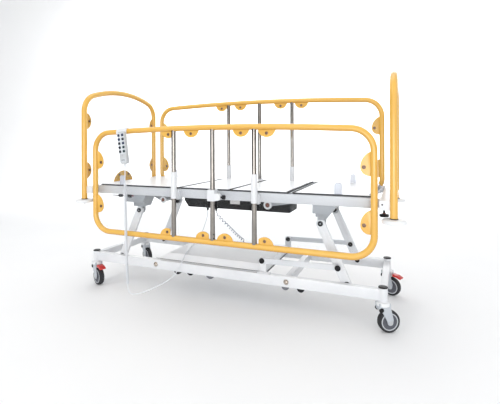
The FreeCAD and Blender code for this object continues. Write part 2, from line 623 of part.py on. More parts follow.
for sg, nm, xs, up in ((-1, "front", FRONT, 0.0), (1, "back", BACK, D["railTravel"])):
    y = D["railLine"] * sg
    place = PL(V(0, y, up), R(V(1, 0, 0), 90))
    hoop = sweep(arched(D["railHalfLength"], D["railLow"], D["railCrown"], D["archRad"], D["railCorner"], True), "dims.railRad", place)
    low, hl = D["railLow"] + up, D["railHalfLength"]

    def top(x):
        return D["railCrown"] + up - D["archRad"] + math.sqrt(D["archRad"] ** 2 - x * x)
    # a cylinder along +Y with a half turn: spin 0 faces -Z, 180 faces +Z
    tabs = []
    tx = (-270, -132, 149, 283) if sg < 0 else (-276, -136, 148, 286)
    bx = (-278, -62, 60, 271) if sg < 0 else (-270, -60, 62, 270)
    for x in tx:
        tabs.append(half_moon("y", x, y, top(x) - 5, 45, 0))
    for x in bx:
        tabs.append(half_moon("y", x, y, low + 5, 45, 180))
    for z in (low + 150, low + 402):
        tabs.append(fin(-hl + 8, 1, z, y))
        tabs.append(fin(hl - 8, -1, z, y))
    # the tabs are notched at the posts, and clear the sleeves when the rail is up
    notch = [cyl("z", x, y, low + 16, "dims.chromeRad + 0.3", 560) for x in xs]
    notch += [box(x - 22, x + 22, y - 4, y + 4, low + 13, low + 62) for x in xs]
    plates = cut(fuse(tabs), fuse(notch))
    frame = fuse([hoop, plates])
    node("rail_frame_" + nm, frame)
    rods = [cyl("z", x, y, low, "dims.chromeRad", top(x) - low) for x in xs]
    cope = []
    for x in xs:
        cope += [cyl("x", x - 60, y, low, "dims.railRad", 120), cyl("x", x - 60, y, top(x), "dims.railRad + 0.3", 120)]
    node("rail_posts_" + nm, group([cut(rods[i], fuse(cope[2 * i:2 * i + 2])) for i in range(3)]))
    yi = (D["railLine"] - 6.5, D["railLine"] - 2.5)
    lo, hi = yi if sg > 0 else (-yi[1], -yi[0])
    z0, z1 = low + 19, low + 543
    fields = []
    edges = [(-hl + 19, xs[0] - 24), (xs[0] + 24, xs[1] - 26), (xs[1] + 26, xs[2] - 24), (xs[2] + 24, hl - 19)]
    for k, (a, b) in enumerate(edges):
        ra, rb = (84 if k == 0 else 8), (84 if k == 3 else 8)
        fields.append(pad("XZ_Plane", [[(a, z0, ra), (b, z0, rb), (b, z1, rb), (a, z1, ra)]], lo, hi, "clear"))
    node("rail_panels_" + nm, group(fields))

# ------------------------------------------------------------------ handset
hx, hz = D["handX"], 919.4
shell = pad("XZ_Plane", [[(hx - 24, 737, 12), (hx + 24, 737, 12), (hx + 24, 917, 10), (hx - 24, 917, 10)]], "-dims.handFront", "-dims.handBack", "shell")
ring = cut(cyl("x", hx - 48, "-dims.railLine", hz, 19.8, 70), cyl("x", hx - 60, "-dims.railLine", hz, 16.3, 90))
keep = box(hx - 60, hx + 30, "-dims.railLine - 25", "-dims.railLine + 25", hz, hz + 37)
lip = box(hx - 48, hx + 22, "-dims.railLine + 16.3", "-dims.railLine + 19.8", hz - 7, hz + 0.5)
hookc = doc.addObject("Part::Common", uid("hook"))
hookc.Base, hookc.Tool = ring, keep
root = box(hx - 20, hx + 20, -353, -346.6, 893, hz + 1)
rows = (897, 874.5, 852, 829.5, 807)
pockets = [cyl("y", hx + dx, "-dims.handFront - 1", z, "dims.keyRad + 0.3", 5) for dx in (-13, 13) for z in rows]
# the hook follows the slope of the rail, and the handset hangs from it at a slight angle
pivot = V(hx, 0, hz)


def turned(o, ang):
    g = group([o])
    g.Placement = PL(pivot, R(V(0, 1, 0), ang)).multiply(PL(V(-pivot.x, 0, -pivot.z), R()))
    return g


case = fuse([turned(cut(shell, fuse(pockets)), -7.5), turned(fuse([hookc, root, lip]), -2.4)])
node("handset_shell", case)
pad_keys = [cyl("y", hx + dx, "-dims.handFront - 1.6", z, "dims.keyRad", 4.2) for dx in (-13, 13) for z in rows]
node("handset_keys", turned(group(pad_keys), -7.5))


# ------------------------------------------------------------------ cords
def cord(name, pts, dia, ends=True):
    """round tube on straight runs joined by tangent arcs"""
    P = [V(*p) for p in pts]
    edges, here, radii = [], P[0], []
    for i in range(1, len(P) - 1):
        a, b = P[i - 1] - P[i], P[i + 1] - P[i]
        run = min(a.Length, b.Length)
        a.normalize()
        b.normalize()
        turn = math.pi - a.getAngle(b)
        t = 0.45 * run
        r = t / math.tan(turn / 2)
        bis = a + b
        bis.normalize()
        c = P[i] + bis * (r / math.cos(turn / 2))
        edges.append(Part.LineSegment(here, P[i] + a * t).toShape())
        edges.append(Part.Arc(P[i] + a * t, c - bis * r, P[i] + b * t).toShape())
        here = P[i] + b * t
        radii.append(round(r, 1))
    edges.append(Part.LineSegment(here, P[-1]).toShape())
    wire = Part.Wire(edges)
    path = doc.addObject("Part::Feature", uid("route"))
    path.Shape = wire
    c = doc.addObject("Part::Circle", uid("section"))
    c.Radius = dia / 2
    d = P[1] - P[0]
    c.Placement = PL(P[0], R(V(0, 0, 1), d))
    s = doc.addObject("Part::Sweep", uid("cord"))
    s.Sections = [c]
    s.Spine = (path, [])
    s.Solid = True
    s.Frenet = False
    doc.recompute()
    want = math.pi * dia * dia / 4 * wire.Length
    print(name, "length", round(wire.Length, 1), "volume ratio", round(s.Shape.Volume / want, 4), "radii", radii)
    return node(name, s)


cord("lead_top", [(-532.2, -361, 738), (-531.4, -361.5, 705), (-528.6, -365.4, 673), (-528, -366, 640)], 6)
cord("lead_coil", [(-528, -366, 639.7), (-524, -368, 455), (-519, -369, 262), (-510, -368, 70)], 16)
cord("lead_tail", [(-510, -368, 69.7), (-509, -367.9, 52), (-496, -368, 37), (-472, -366.5, 32), (-433, -361, 42),
                   (-385, -350, 62), (-340, -334, 84), (-300, -312, 106), (-272, -287, 130), (-254, -269, 158),
                   (-243, -262, 188), (-238, -250, 206), (-240, -230, 216), (-246, -204, 232), (-258, -170, 232.5),
                   (-272, -130, 231), (-284, -88, 232), (-283, -58, 240), (-262, -48, 264), (-236, -50, 300),
                   (-212, -56, 344), (-192, -63, 390), (-177, -66, 434), (-177, -66, 474)], 6)
cord("coiled_lead", [(-123, -64, 474), (-123, -64, 450), (-108, -60, 427), (-79, -48, 393), (-58, -20, 358),
                     (-43, 20, 318), (-28, 62, 282), (-14, 96, 258), (-14, 96, 226)], 13)

# ------------------------------------------------------------------ check and write
doc.removeObject("datum_probe")
doc.recompute()
bad = 0
for o in doc.Objects:
    st = [q for q in o.State if q in ("Invalid", "Error")]
    sh = getattr(o, "Shape", None)
    if st or (sh is not None and not sh.isNull() and o in nodes.values() and not sh.isValid()):
        print("BAD", o.Name, o.Label, o.State)
        bad += 1
for nm, o in nodes.items():
    sh = o.Shape
    ok = (not sh.isNull()) and sh.isValid() and len(sh.Solids) > 0
    bb = sh.BoundBox
    print("%-20s %2d solids %9.1f cm3  x %7.1f %7.1f  y %7.1f %7.1f  z %7.1f %7.1f %s" % (
        nm, len(sh.Solids), sh.Volume / 1000, bb.XMin, bb.XMax, bb.YMin, bb.YMax, bb.ZMin, bb.ZMax, "" if ok else "NOT VALID"))
    if not ok:
        bad += 1
print(len(nodes), "nodes", bad, "bad")
if bad:
    raise SystemExit("not written")
os.makedirs("parts", exist_ok=True)
for nm, o in nodes.items():
    o.Shape.exportStep("parts/%s.step" % nm)
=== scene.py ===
import bpy
import bmesh
import json
import math
from mathutils import Vector, Matrix

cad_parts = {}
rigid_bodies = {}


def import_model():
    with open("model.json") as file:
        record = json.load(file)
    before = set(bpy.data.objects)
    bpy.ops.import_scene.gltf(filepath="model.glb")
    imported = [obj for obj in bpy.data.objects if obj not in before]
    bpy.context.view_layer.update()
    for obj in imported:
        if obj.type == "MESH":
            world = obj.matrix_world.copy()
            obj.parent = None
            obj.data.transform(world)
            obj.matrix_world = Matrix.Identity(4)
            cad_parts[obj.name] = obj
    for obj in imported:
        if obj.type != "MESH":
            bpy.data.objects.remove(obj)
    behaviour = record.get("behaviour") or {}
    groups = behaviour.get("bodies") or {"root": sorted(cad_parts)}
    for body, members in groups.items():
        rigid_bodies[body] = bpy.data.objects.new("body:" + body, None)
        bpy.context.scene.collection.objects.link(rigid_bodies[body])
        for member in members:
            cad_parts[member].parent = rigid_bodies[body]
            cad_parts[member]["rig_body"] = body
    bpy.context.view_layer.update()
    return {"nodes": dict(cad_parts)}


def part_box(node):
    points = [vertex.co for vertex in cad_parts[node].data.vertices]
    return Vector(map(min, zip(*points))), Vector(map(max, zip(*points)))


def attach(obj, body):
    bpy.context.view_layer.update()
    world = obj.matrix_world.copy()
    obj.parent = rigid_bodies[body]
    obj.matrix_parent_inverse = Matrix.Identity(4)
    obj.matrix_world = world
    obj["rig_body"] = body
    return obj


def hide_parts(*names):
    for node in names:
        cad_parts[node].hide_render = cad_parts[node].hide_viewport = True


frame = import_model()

NODES = frame["nodes"]
SCN = bpy.context.scene
rad = math.radians


# =====================================================================  camera
def photo_camera():
    cam = bpy.data.cameras.new("photo_camera")
    ob = bpy.data.objects.new("photo_camera", cam)
    SCN.collection.objects.link(ob)
    cam.sensor_width = 36.0
    cam.sensor_fit = "HORIZONTAL"
    cam.lens = 36.0 * 381.6 / 500.0
    cam.shift_x = (250.0 - 247.64) / 500.0
    cam.shift_y = (144.05 - 202.0) / 500.0
    cam.clip_end = 60.0
    yaw, pitch, roll = 0.3875, -0.0008, 0.0037
    fwd = Vector((-math.sin(yaw) * math.cos(pitch), math.cos(yaw) * math.cos(pitch), -math.sin(pitch)))
    right = Vector((math.cos(yaw), math.sin(yaw), 0.0))
    up = right.cross(fwd)
    c, s = math.cos(roll), math.sin(roll)
    r2 = right * c - up * s
    u2 = up * c + right * s
    ob.matrix_world = Matrix(((r2.x, u2.x, -fwd.x, 0.8867), (r2.y, u2.y, -fwd.y, -2.0501),
                              (r2.z, u2.z, -fwd.z, 0.8443), (0, 0, 0, 1)))
    SCN.camera = ob
    return ob


photo_camera()


# =====================================================================  materials
class Mat:
    """small builder for node materials in object space"""

    def __init__(self, name, blend=None):
        self.m = bpy.data.materials.new(name)
        self.m.use_nodes = True
        self.t = self.m.node_tree
        self.t.nodes.clear()
        self.out = self.n("ShaderNodeOutputMaterial")
        self.b = self.n("ShaderNodeBsdfPrincipled")
        self.link(self.b.outputs[0], self.out.inputs[0])
        self.co = self.n("ShaderNodeTexCoord").outputs["Object"]

    def n(self, kind, **props):
        nd = self.t.nodes.new(kind)
        for k, v in props.items():
            setattr(nd, k, v)
        return nd

    def link(self, a, b):
        self.t.links.new(a, b)

    def noise(self, scale, detail=3.0, rough=0.5, dist=0.0, stretch=None):
        src = self.co
        if stretch:
            mp = self.n("ShaderNodeMapping")
            mp.inputs["Scale"].default_value = stretch
            self.link(self.co, mp.inputs["Vector"])
            src = mp.outputs[0]
        nd = self.n("ShaderNodeTexNoise")
        nd.inputs["Scale"].default_value = scale
        nd.inputs["Detail"].default_value = detail
        nd.inputs["Roughness"].default_value = rough
        nd.inputs["Distortion"].default_value = dist
        self.link(src, nd.inputs["Vector"])
        return nd.outputs["Fac"]

    def ramp(self, fac, stops):
        nd = self.n("ShaderNodeValToRGB")
        el = nd.color_ramp.elements
        el[0].position, el[0].color = stops[0][0], tuple(stops[0][1]) + (1,)
        el[1].position, el[1].color = stops[-1][0], tuple(stops[-1][1]) + (1,)
        for p, c in stops[1:-1]:
            e = el.new(p)
            e.color = tuple(c) + (1,)
        self.link(fac, nd.inputs[0])
        return nd.outputs[0]

    def remap(self, fac, a, b, lo, hi):
        nd = self.n("ShaderNodeMapRange")
        nd.inputs["From Min"].default_value = a
        nd.inputs["From Max"].default_value = b
        nd.inputs["To Min"].default_value = lo
        nd.inputs["To Max"].default_value = hi
        self.link(fac, nd.inputs["Value"])
        return nd.outputs[0]

    def mix(self, fac, a, b, mode="MIX"):
        nd = self.n("ShaderNodeMix", data_type="RGBA", blend_type=mode)
        if isinstance(fac, float):
            nd.inputs[0].default_value = fac
        else:
            self.link(fac, nd.inputs[0])
        for sock, v in ((nd.inputs[6], a), (nd.inputs[7], b)):
            if isinstance(v, tuple):
                sock.default_value = v + (1,) if len(v) == 3 else v
            else:
                self.link(v, sock)
        return nd.outputs[2]

    def bump(self, height, strength, dist):
        nd = self.n("ShaderNodeBump")
        nd.inputs["Strength"].default_value = strength
        nd.inputs["Distance"].default_value = dist
        self.link(height, nd.inputs["Height"])
        self.link(nd.outputs[0], self.b.inputs["Normal"])
        return nd

    def set(self, **kw):
        for k, v in kw.items():
            s = self.b.inputs[k.replace("_", " ")]
            if isinstance(v, (int, float, tuple)):
                s.default_value = v
            else:
                self.link(v, s)
        return self


def edge_mask(m, lo=0.52, hi=0.60):
    g = m.n("ShaderNodeNewGeometry")
    return m.remap(g.outputs["Pointiness"], lo, hi, 0.0, 1.0)


def coat_paint(name, base, dark, rough=0.34, wear=(0.55, 0.55, 0.56), coat=0.25, speck=0.25, spread=0.20, low=None):
    """powder coat: slight orange peel, soft blotches of a darker tone, fine specks, rubbed edges; with low given,
    painted shade on the undersides
    """
    m = Mat(name)
    big = m.noise(5.0, 4.0, 0.6)
    col = m.mix(m.remap(big, 0.35, 0.75, 0.0, 1.0), base, dark)
    scuff = m.noise(38.0, 6.0, 0.7, 0.4)
    col = m.mix(m.remap(scuff, 0.62, 0.78, 0.0, speck), col, dark)
    edge = edge_mask(m, 0.56, 0.70)
    grit = m.noise(90.0, 4.0, 0.6)
    ed = m.n("ShaderNodeMath", operation="MULTIPLY")
    m.link(edge, ed.inputs[0])
    m.link(m.remap(grit, 0.55, 0.75, 0.0, 0.5), ed.inputs[1])
    col = m.mix(ed.outputs[0], col, wear)
    if low:
        # painted shade: the colour turns a little deeper on the underside of the tubes, where shade would fall
        g = m.n("ShaderNodeTexCoord")
        sep = m.n("ShaderNodeSeparateXYZ")
        m.link(g.outputs["Normal"], sep.inputs[0])
        col = m.mix(m.remap(sep.outputs[2], -0.95, 0.30, 0.85, 0.0), col, low)
    m.set(Base_Color=col, Roughness=m.remap(scuff, 0.3, 0.8, rough - spread * 0.3, rough + spread * 0.7))
    m.b.inputs["Coat Weight"].default_value = coat
    m.b.inputs["Coat Roughness"].default_value = 0.18
    m.bump(m.noise(900.0, 2.0, 0.5), 0.10, 0.0004)
    return m.m


M = {}
M["white"] = coat_paint("white_powder_coat", (0.75, 0.76, 0.78), (0.665, 0.68, 0.705))
M["beam"] = coat_paint("deck_beam_powder_coat", (0.60, 0.605, 0.62), (0.52, 0.53, 0.55))
M["grey"] = coat_paint("grey_powder_coat", (0.68, 0.70, 0.73), (0.58, 0.61, 0.65))
# painted shade: a darker copy of the grey coat for the cross tubes under the deck, where shade falls
M["under"] = coat_paint("underside_powder_coat", (0.56, 0.585, 0.62), (0.44, 0.47, 0.51))
# the yellow tubes get painted shade on their undersides through low
M["yellow"] = coat_paint("yellow_powder_coat", (0.80, 0.465, 0.085), (0.765, 0.43, 0.07), rough=0.24,
                         wear=(0.88, 0.62, 0.22), coat=0.5, speck=0.06, spread=0.05, low=(0.54, 0.27, 0.035))


def metal(name, base, rough, streak=(1, 1, 1), streak_scale=60.0, amount=0.10, dents=0.0):
    m = Mat(name)
    st = m.noise(streak_scale, 5.0, 0.65, 0.0, streak)
    spot = m.noise(14.0, 3.0, 0.6)
    col = m.mix(m.remap(spot, 0.35, 0.8, 0.0, 0.6), base, tuple(c * 0.86 for c in base))
    m.set(Base_Color=col, Metallic=1.0, Roughness=m.remap(st, 0.3, 0.75, rough, rough + amount))
    m.bump(st, 0.06 + dents, 0.0003)
    return m.m


def post_chrome():
    """polished steel tube: fine drawn lines along it and faint smudges; light and dark come from what it reflects"""
    m = Mat("post_chrome")
    spot = m.noise(11.0, 4.0, 0.6)
    st = m.noise(220.0, 5.0, 0.65, 0.0, (1, 1, 0.05))
    col = m.mix(m.remap(spot, 0.35, 0.75, 0.0, 1.0), (0.29, 0.27, 0.25), (0.22, 0.203, 0.187))
    col = m.mix(m.remap(st, 0.60, 0.80, 0.0, 0.35), col, (0.13, 0.12, 0.11))
    m.set(Base_Color=col, Metallic=1.0, Roughness=m.remap(st, 0.3, 0.75, 0.10, 0.24))
    m.bump(st, 0.05, 0.0003)
    return m.m


M["chrome"] = post_chrome()
M["steel"] = metal("screw_steel", (0.60, 0.585, 0.56), 0.24, (1, 1, 1), 400.0, 0.12)
M["dome"] = metal("dome_nut_plate", (0.50, 0.44, 0.38), 0.20, (1, 1, 1), 300.0, 0.12)
M["bolt"] = metal("tab_bolt_steel", (0.23, 0.155, 0.115), 0.30, (1, 1, 1), 400.0, 0.14)


def plastic(name, base, dark, rough=0.42, grain=700.0, bump=0.12, coat=0.0, dust=0.0, spec=0.5):
    m = Mat(name)
    big = m.noise(9.0, 4.0, 0.6)
    col = m.mix(m.remap(big, 0.35, 0.72, 0.0, 1.0), base, dark)
    if dust:
        fine = m.noise(120.0, 6.0, 0.75)
        col = m.mix(m.remap(fine, 0.60, 0.80, 0.0, dust), col, (0.45, 0.45, 0.46))
    gr = m.noise(grain, 3.0, 0.6)
    m.set(Base_Color=col, Roughness=m.remap(gr, 0.3, 0.7, rough - 0.06, rough + 0.10))
    m.b.inputs["Coat Weight"].default_value = coat
    m.b.inputs["Coat Roughness"].default_value = 0.2
    m.b.inputs["Specular IOR Level"].default_value = spec
    m.bump(gr, bump, 0.0004)
    return m.m


M["black"] = plastic("black_plastic", (0.010, 0.010, 0.012), (0.022, 0.022, 0.025), 0.42, 800.0, 0.2, 0.0, 0.04, 0.2)
M["drive"] = plastic("drive_housing", (0.005, 0.005, 0.006), (0.012, 0.0115, 0.012), 0.50, 520.0, 0.35, 0.0, 0.03, 0.12)
M["tyre"] = plastic("tyre_rubber", (0.024, 0.025, 0.028), (0.042, 0.043, 0.048), 0.62, 420.0, 0.25, 0.0, 0.12, 0.3)
M["rim"] = plastic("rim_light", (0.56, 0.58, 0.61), (0.46, 0.48, 0.51), 0.40, 500.0, 0.1)
M["disc"] = plastic("wheel_disc", (0.10, 0.105, 0.125), (0.07, 0.074, 0.09), 0.45, 500.0, 0.15, 0.0, 0.10)
M["fork"] = plastic("fork_plastic", (0.50, 0.53, 0.57), (0.42, 0.45, 0.49), 0.40, 600.0, 0.10, 0.1)
M["red"] = plastic("pedal_red", (0.62, 0.028, 0.022), (0.50, 0.020, 0.018), 0.34, 600.0, 0.08, 0.35)
M["dark_red"] = plastic("tip_red", (0.20, 0.02, 0.02), (0.14, 0.015, 0.015), 0.40, 600.0, 0.08, 0.2)
M["cover"] = plastic("cover_moulding", (0.91, 0.925, 0.945), (0.87, 0.885, 0.91), 0.46, 420.0, 0.16, 0.05)
M["white_pl"] = plastic("white_moulding", (0.80, 0.81, 0.82), (0.74, 0.75, 0.77), 0.36, 600.0, 0.06, 0.2)
M["beige"] = plastic("beige_bush", (0.72, 0.63, 0.52), (0.62, 0.53, 0.43), 0.38, 600.0, 0.08, 0.1)
M["bracket"] = plastic("cast_bracket", (0.37, 0.385, 0.405), (0.30, 0.315, 0.335), 0.42, 500.0, 0.18, 0.1)
M["label"] = plastic("bare_plate", (0.50, 0.48, 0.46), (0.42, 0.40, 0.39), 0.35, 900.0, 0.05, 0.1)
M["handset"] = plastic("handset_shell_grey", (0.56, 0.575, 0.59), (0.50, 0.515, 0.53), 0.40, 600.0, 0.07, 0.10)
M["hook"] = plastic("hook_white", (0.76, 0.77, 0.79), (0.70, 0.715, 0.74), 0.38, 600.0, 0.07, 0.15)
M["foil"] = plastic("keypad_foil", (0.66, 0.69, 0.72), (0.60, 0.63, 0.67), 0.30, 900.0, 0.04, 0.2)
M["key_blue"] = plastic("key_blue", (0.010, 0.018, 0.070), (0.008, 0.014, 0.050), 0.45, 900.0, 0.05, spec=0.15)
M["key_green"] = plastic("key_green", (0.008, 0.034, 0.036), (0.006, 0.024, 0.028), 0.45, 900.0, 0.05, spec=0.15)
M["key_dark"] = plastic("key_dark", (0.007, 0.008, 0.014), (0.011, 0.012, 0.020), 0.45, 900.0, 0.05, spec=0.15)
M["mark"] = plastic("key_mark", (0.24, 0.26, 0.30), (0.19, 0.21, 0.25), 0.45, 900.0, 0.03)
M["cord"] = plastic("lead_sheath", (0.74, 0.76, 0.79), (0.66, 0.68, 0.72), 0.42, 900.0, 0.06)
M["lead"] = plastic("grey_blue_sheath", (0.13, 0.15, 0.23), (0.09, 0.11, 0.17), 0.38, 900.0, 0.06)
# painted shadow: the dark grey of the strips laid in the gaps round the cover's foot
M["seam"] = plastic("cover_gap_shade_grey", (0.17, 0.17, 0.18), (0.22, 0.22, 0.23), 0.6, 600.0, 0.1)
M["brown"] = plastic("brown_collar", (0.20, 0.07, 0.045), (0.15, 0.05, 0.035), 0.45, 600.0, 0.08)
M["grey_rubber"] = plastic("grey_rubber", (0.16, 0.165, 0.18), (0.12, 0.125, 0.14), 0.55, 600.0, 0.15)
# painted shadow: the black of the strips laid over the panel seams
M["gap"] = plastic("seam_shade_black", (0.014, 0.014, 0.016), (0.024, 0.024, 0.028), 0.6, 600.0, 0.1, spec=0.15)
M["plate"] = plastic("drive_plate_bare", (0.74, 0.73, 0.72), (0.66, 0.65, 0.64), 0.38, 900.0, 0.05, 0.1)


def laminate():
    """white compact laminate: white faces on a black core that shows at the edges"""
    m = Mat("compact_laminate")
    g = m.n("ShaderNodeTexCoord")
    sep = m.n("ShaderNodeSeparateXYZ")
    m.link(g.outputs["Normal"], sep.inputs[0])
    ab = m.n("ShaderNodeMath", operation="ABSOLUTE")
    m.link(sep.outputs[2], ab.inputs[0])
    face = m.remap(ab.outputs[0], 0.80, 0.93, 0.0, 1.0)
    big = m.noise(3.0, 4.0, 0.6)
    white = m.mix(m.remap(big, 0.3, 0.75, 0.0, 1.0), (0.83, 0.835, 0.84), (0.76, 0.77, 0.785))
    scratch = m.noise(16.0, 8.0, 0.8, 0.3, (1, 14, 1))
    white = m.mix(m.remap(scratch, 0.66, 0.74, 0.0, 0.09), white, (0.66, 0.67, 0.69))
    core = m.mix(m.remap(m.noise(260.0, 3.0), 0.4, 0.7, 0.0, 1.0), (0.018, 0.018, 0.02), (0.05, 0.05, 0.055))
    m.set(Base_Color=m.mix(face, core, white), Roughness=m.remap(scratch, 0.3, 0.8, 0.30, 0.40))
    m.bump(m.noise(500.0, 2.0), 0.015, 0.0002)
    return m.m


M["laminate"] = laminate()


def clear_sheet(name, tint, body=0.06, gloss=0.5):
    """clear acrylic sheet: mostly open, glossy where it catches the light, a faint haze and rubbed marks"""
    m = Mat(name)
    tr = m.n("ShaderNodeBsdfTransparent")
    tr.inputs[0].default_value = (0.985, 0.99, 0.995, 1)
    haze = m.noise(6.0, 5.0, 0.7, 0.6)
    marks = m.noise(30.0, 8.0, 0.8, 0.5, (6, 6, 1))
    m.set(Base_Color=m.mix(m.remap(haze, 0.3, 0.7, 0.0, 1.0), tint, tuple(c * 0.95 for c in tint)),
          Roughness=m.remap(marks, 0.4, 0.8, 0.04, 0.20))
    fr = m.n("ShaderNodeFresnel")
    fr.inputs["IOR"].default_value = 1.45
    sc = m.n("ShaderNodeMath", operation="MULTIPLY_ADD")
    m.link(fr.outputs[0], sc.inputs[0])
    sc.inputs[1].default_value = gloss
    sc.inputs[2].default_value = body
    add = m.n("ShaderNodeMath", operation="ADD")
    m.link(sc.outputs[0], add.inputs[0])
    m.link(m.remap(marks, 0.66, 0.80, 0.0, 0.03), add.inputs[1])
    mx = m.n("ShaderNodeMixShader")
    m.link(add.outputs[0], mx.inputs[0])
    m.link(tr.outputs[0], mx.inputs[1])
    m.link(m.b.outputs[0], mx.inputs[2])
    m.link(mx.outputs[0], m.out.inputs[0])
    m.bump(m.noise(3.0, 2.0), 0.03, 0.002)
    return m.m


M["clear"] = clear_sheet("clear_acrylic", (0.90, 0.93, 0.95), 0.006, 0.16)
M["flap"] = clear_sheet("retainer_translucent", (0.68, 0.70, 0.77), 0.62, 0.20)


# =====================================================================  mesh helpers
def add(name, bm, body, mat, slot=None, smooth=35.0, recalc=True):
    me = bpy.data.meshes.new(name)
    if recalc:
        bmesh.ops.recalc_face_normals(bm, faces=bm.faces)
    bm.to_mesh(me)
    bm.free()
    ob = bpy.data.objects.new(name, me)
    SCN.collection.objects.link(ob)
    shade(ob, smooth)
    me.materials.append(mat)
    if body:
        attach(ob, body)
    return ob


def shade(ob, angle):
    me = ob.data
    for p in me.polygons:
        p.use_smooth = True
    bm = bmesh.new()
    bm.from_mesh(me)
    for e in bm.edges:
        e.smooth = not (len(e.link_faces) == 2 and e.calc_face_angle(0) > rad(angle))
    bm.to_mesh(me)
    bm.free()


def frames(pts, closed):
    n = len(pts)
    tans = []
    for i in range(n):
        a = pts[i - 1] if (i or closed) else pts[0]
        b = pts[(i + 1) % n] if (i < n - 1 or closed) else pts[-1]
        tans.append((b - a).normalized())
    ref = Vector((0, 0, 1)) if abs(tans[0].z) < 0.9 else Vector((1, 0, 0))
    nrm = (ref - tans[0] * ref.dot(tans[0])).normalized()
    out = []
    for t in tans:
        nrm = (nrm - t * nrm.dot(t)).normalized()
        out.append((nrm.copy(), t.cross(nrm)))
    return tans, out


def tube(bm, pts, r, closed=False, seg=28, caps=True):
    pts = [Vector(p) for p in pts]
    tans, fr = frames(pts, closed)
    rings = []
    for i, (p, (a, b)) in enumerate(zip(pts, fr)):
        rr = r[i] if isinstance(r, (list, tuple)) else r
        rings.append([bm.verts.new(p + a * (rr * math.cos(2 * math.pi * k / seg)) + b * (rr * math.sin(2 * math.pi * k / seg))) for k in range(seg)])
    n = len(rings)
    for i in range(n if closed else n - 1):
        A, B = rings[i], rings[(i + 1) % n]
        off = 0
        if closed and i == n - 1:
            off = min(range(seg), key=lambda q: (B[q].co - A[0].co).length)
        for k in range(seg):
            bm.faces.new((A[k], A[(k + 1) % seg], B[(k + 1 + off) % seg], B[(k + off) % seg]))
    if caps and not closed:
        bm.faces.new(list(reversed(rings[0])))
        bm.faces.new(rings[-1])
    return rings


def lathe(bm, prof, origin, axis, seg=48):
    """profile of (radius, height) turned about the axis; a radius of 0 closes it"""
    ax = Vector(axis).normalized()
    ref = Vector((0, 0, 1)) if abs(ax.z) < 0.9 else Vector((1, 0, 0))
    u = (ref - ax * ref.dot(ax)).normalized()
    v = ax.cross(u)
    o = Vector(origin)
    rows = []
    for r, h in prof:
        if r < 1e-7:
            rows.append([bm.verts.new(o + ax * h)])
        else:
            rows.append([bm.verts.new(o + ax * h + u * (r * math.cos(2 * math.pi * k / seg)) + v * (r * math.sin(2 * math.pi * k / seg))) for k in range(seg)])
    for A, B in zip(rows, rows[1:]):
        if len(A) == 1 and len(B) == 1:
            continue
        for k in range(seg):
            k2 = (k + 1) % seg
            if len(A) == 1:
                bm.faces.new((A[0], B[k2], B[k]))
            elif len(B) == 1:
                bm.faces.new((A[k], A[k2], B[0]))
            else:
                bm.faces.new((A[k], A[k2], B[k2], B[k]))


def block(bm, lo, hi, bev=0.0, seg=3):
    r = bmesh.ops.create_cube(bm, size=1.0)
    vs = r["verts"]
    c = [(a + b) / 2 for a, b in zip(lo, hi)]
    s = [abs(b - a) for a, b in zip(lo, hi)]
    for v in vs:
        v.co = Vector((c[0] + v.co.x * s[0], c[1] + v.co.y * s[1], c[2] + v.co.z * s[2]))
    if bev:
        es = list({e for v in vs for e in v.link_edges})
        bmesh.ops.bevel(bm, geom=es, offset=bev, segments=seg, profile=0.5, affect="EDGES")


def prism(bm, outline, frame_m, lo, hi, bev=0.0, seg=2):
    """outline of (u, v) extruded along w in the 3x3 frame (u, v, w columns) from an origin"""
    o, u, v, w = frame_m
    A = [bm.verts.new(o + u * p[0] + v * p[1] + w * lo) for p in outline]
    B = [bm.verts.new(o + u * p[0] + v * p[1] + w * hi) for p in outline]
    fa = bm.faces.new(list(reversed(A)))
    fb = bm.faces.new(B)
    n = len(A)
    for i in range(n):
        bm.faces.new((A[i], A[(i + 1) % n], B[(i + 1) % n], B[i]))
    if bev:
        es = list(set(fa.edges) | set(fb.edges))
        bmesh.ops.bevel(bm, geom=es, offset=bev, segments=seg, profile=0.5, affect="EDGES")


def soften(node, width, mat, seg=3, angle=32.0, name=None, also=None):
    """the CAD piece with its sharp edges rounded, riding where it rides"""
    src = NODES[node]
    bm = bmesh.new()
    bm.from_mesh(src.data)
    bmesh.ops.remove_doubles(bm, verts=bm.verts, dist=2e-5)
    bmesh.ops.dissolve_limit(bm, angle_limit=rad(0.6), verts=bm.verts, edges=bm.edges)
    me = bpy.data.meshes.new(node + "_s")
    bm.to_mesh(me)
    bm.free()
    tmp = bpy.data.objects.new(node + "_s", me)
    SCN.collection.objects.link(tmp)
    md = tmp.modifiers.new("b", "BEVEL")
    md.width = width
    md.segments = seg
    md.limit_method = "ANGLE"
    md.angle_limit = rad(angle)
    md.use_clamp_overlap = True
    md.miter_outer = "MITER_ARC"
    dg = bpy.context.evaluated_depsgraph_get()
    me2 = bpy.data.meshes.new_from_object(tmp.evaluated_get(dg))
    bpy.data.objects.remove(tmp)
    ob = bpy.data.objects.new(name or (node + "_finish"), me2)
    SCN.collection.objects.link(ob)
    me2.materials.clear()
    me2.materials.append(mat)
    shade(ob, 40)
    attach(ob, src["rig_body"])
    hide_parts(node)
    return ob


def paint(node, mat):
    me = NODES[node].data
    if not me.materials:
        me.materials.append(mat)
    for i in range(len(me.materials)):
        me.materials[i] = mat


def mm(*p):
    return Vector([c / 1000.0 for c in p])


X, Y, Z = Vector((1, 0, 0)), Vector((0, 1, 0)), Vector((0, 0, 1))


def screw(bm, at, axis, r=0.0048, h=0.0026, washer=True):
    """pan head on a washer, with a hex recess"""
    if washer:
        lathe(bm, [(0, 0), (r * 1.55, 0), (r * 1.6, 0.0003), (r * 1.6, 0.0010), (r * 1.5, 0.0013), (r, 0.0013)], at, axis, 24)
    b = 0.0012 if washer else 0.0
    lathe(bm, [(r, b), (r, b + h * 0.45), (r * 0.88, b + h * 0.8), (r * 0.62, b + h), (r * 0.45, b + h), (r * 0.42, b + h * 0.45), (0, b + h * 0.40)], at, axis, 24)


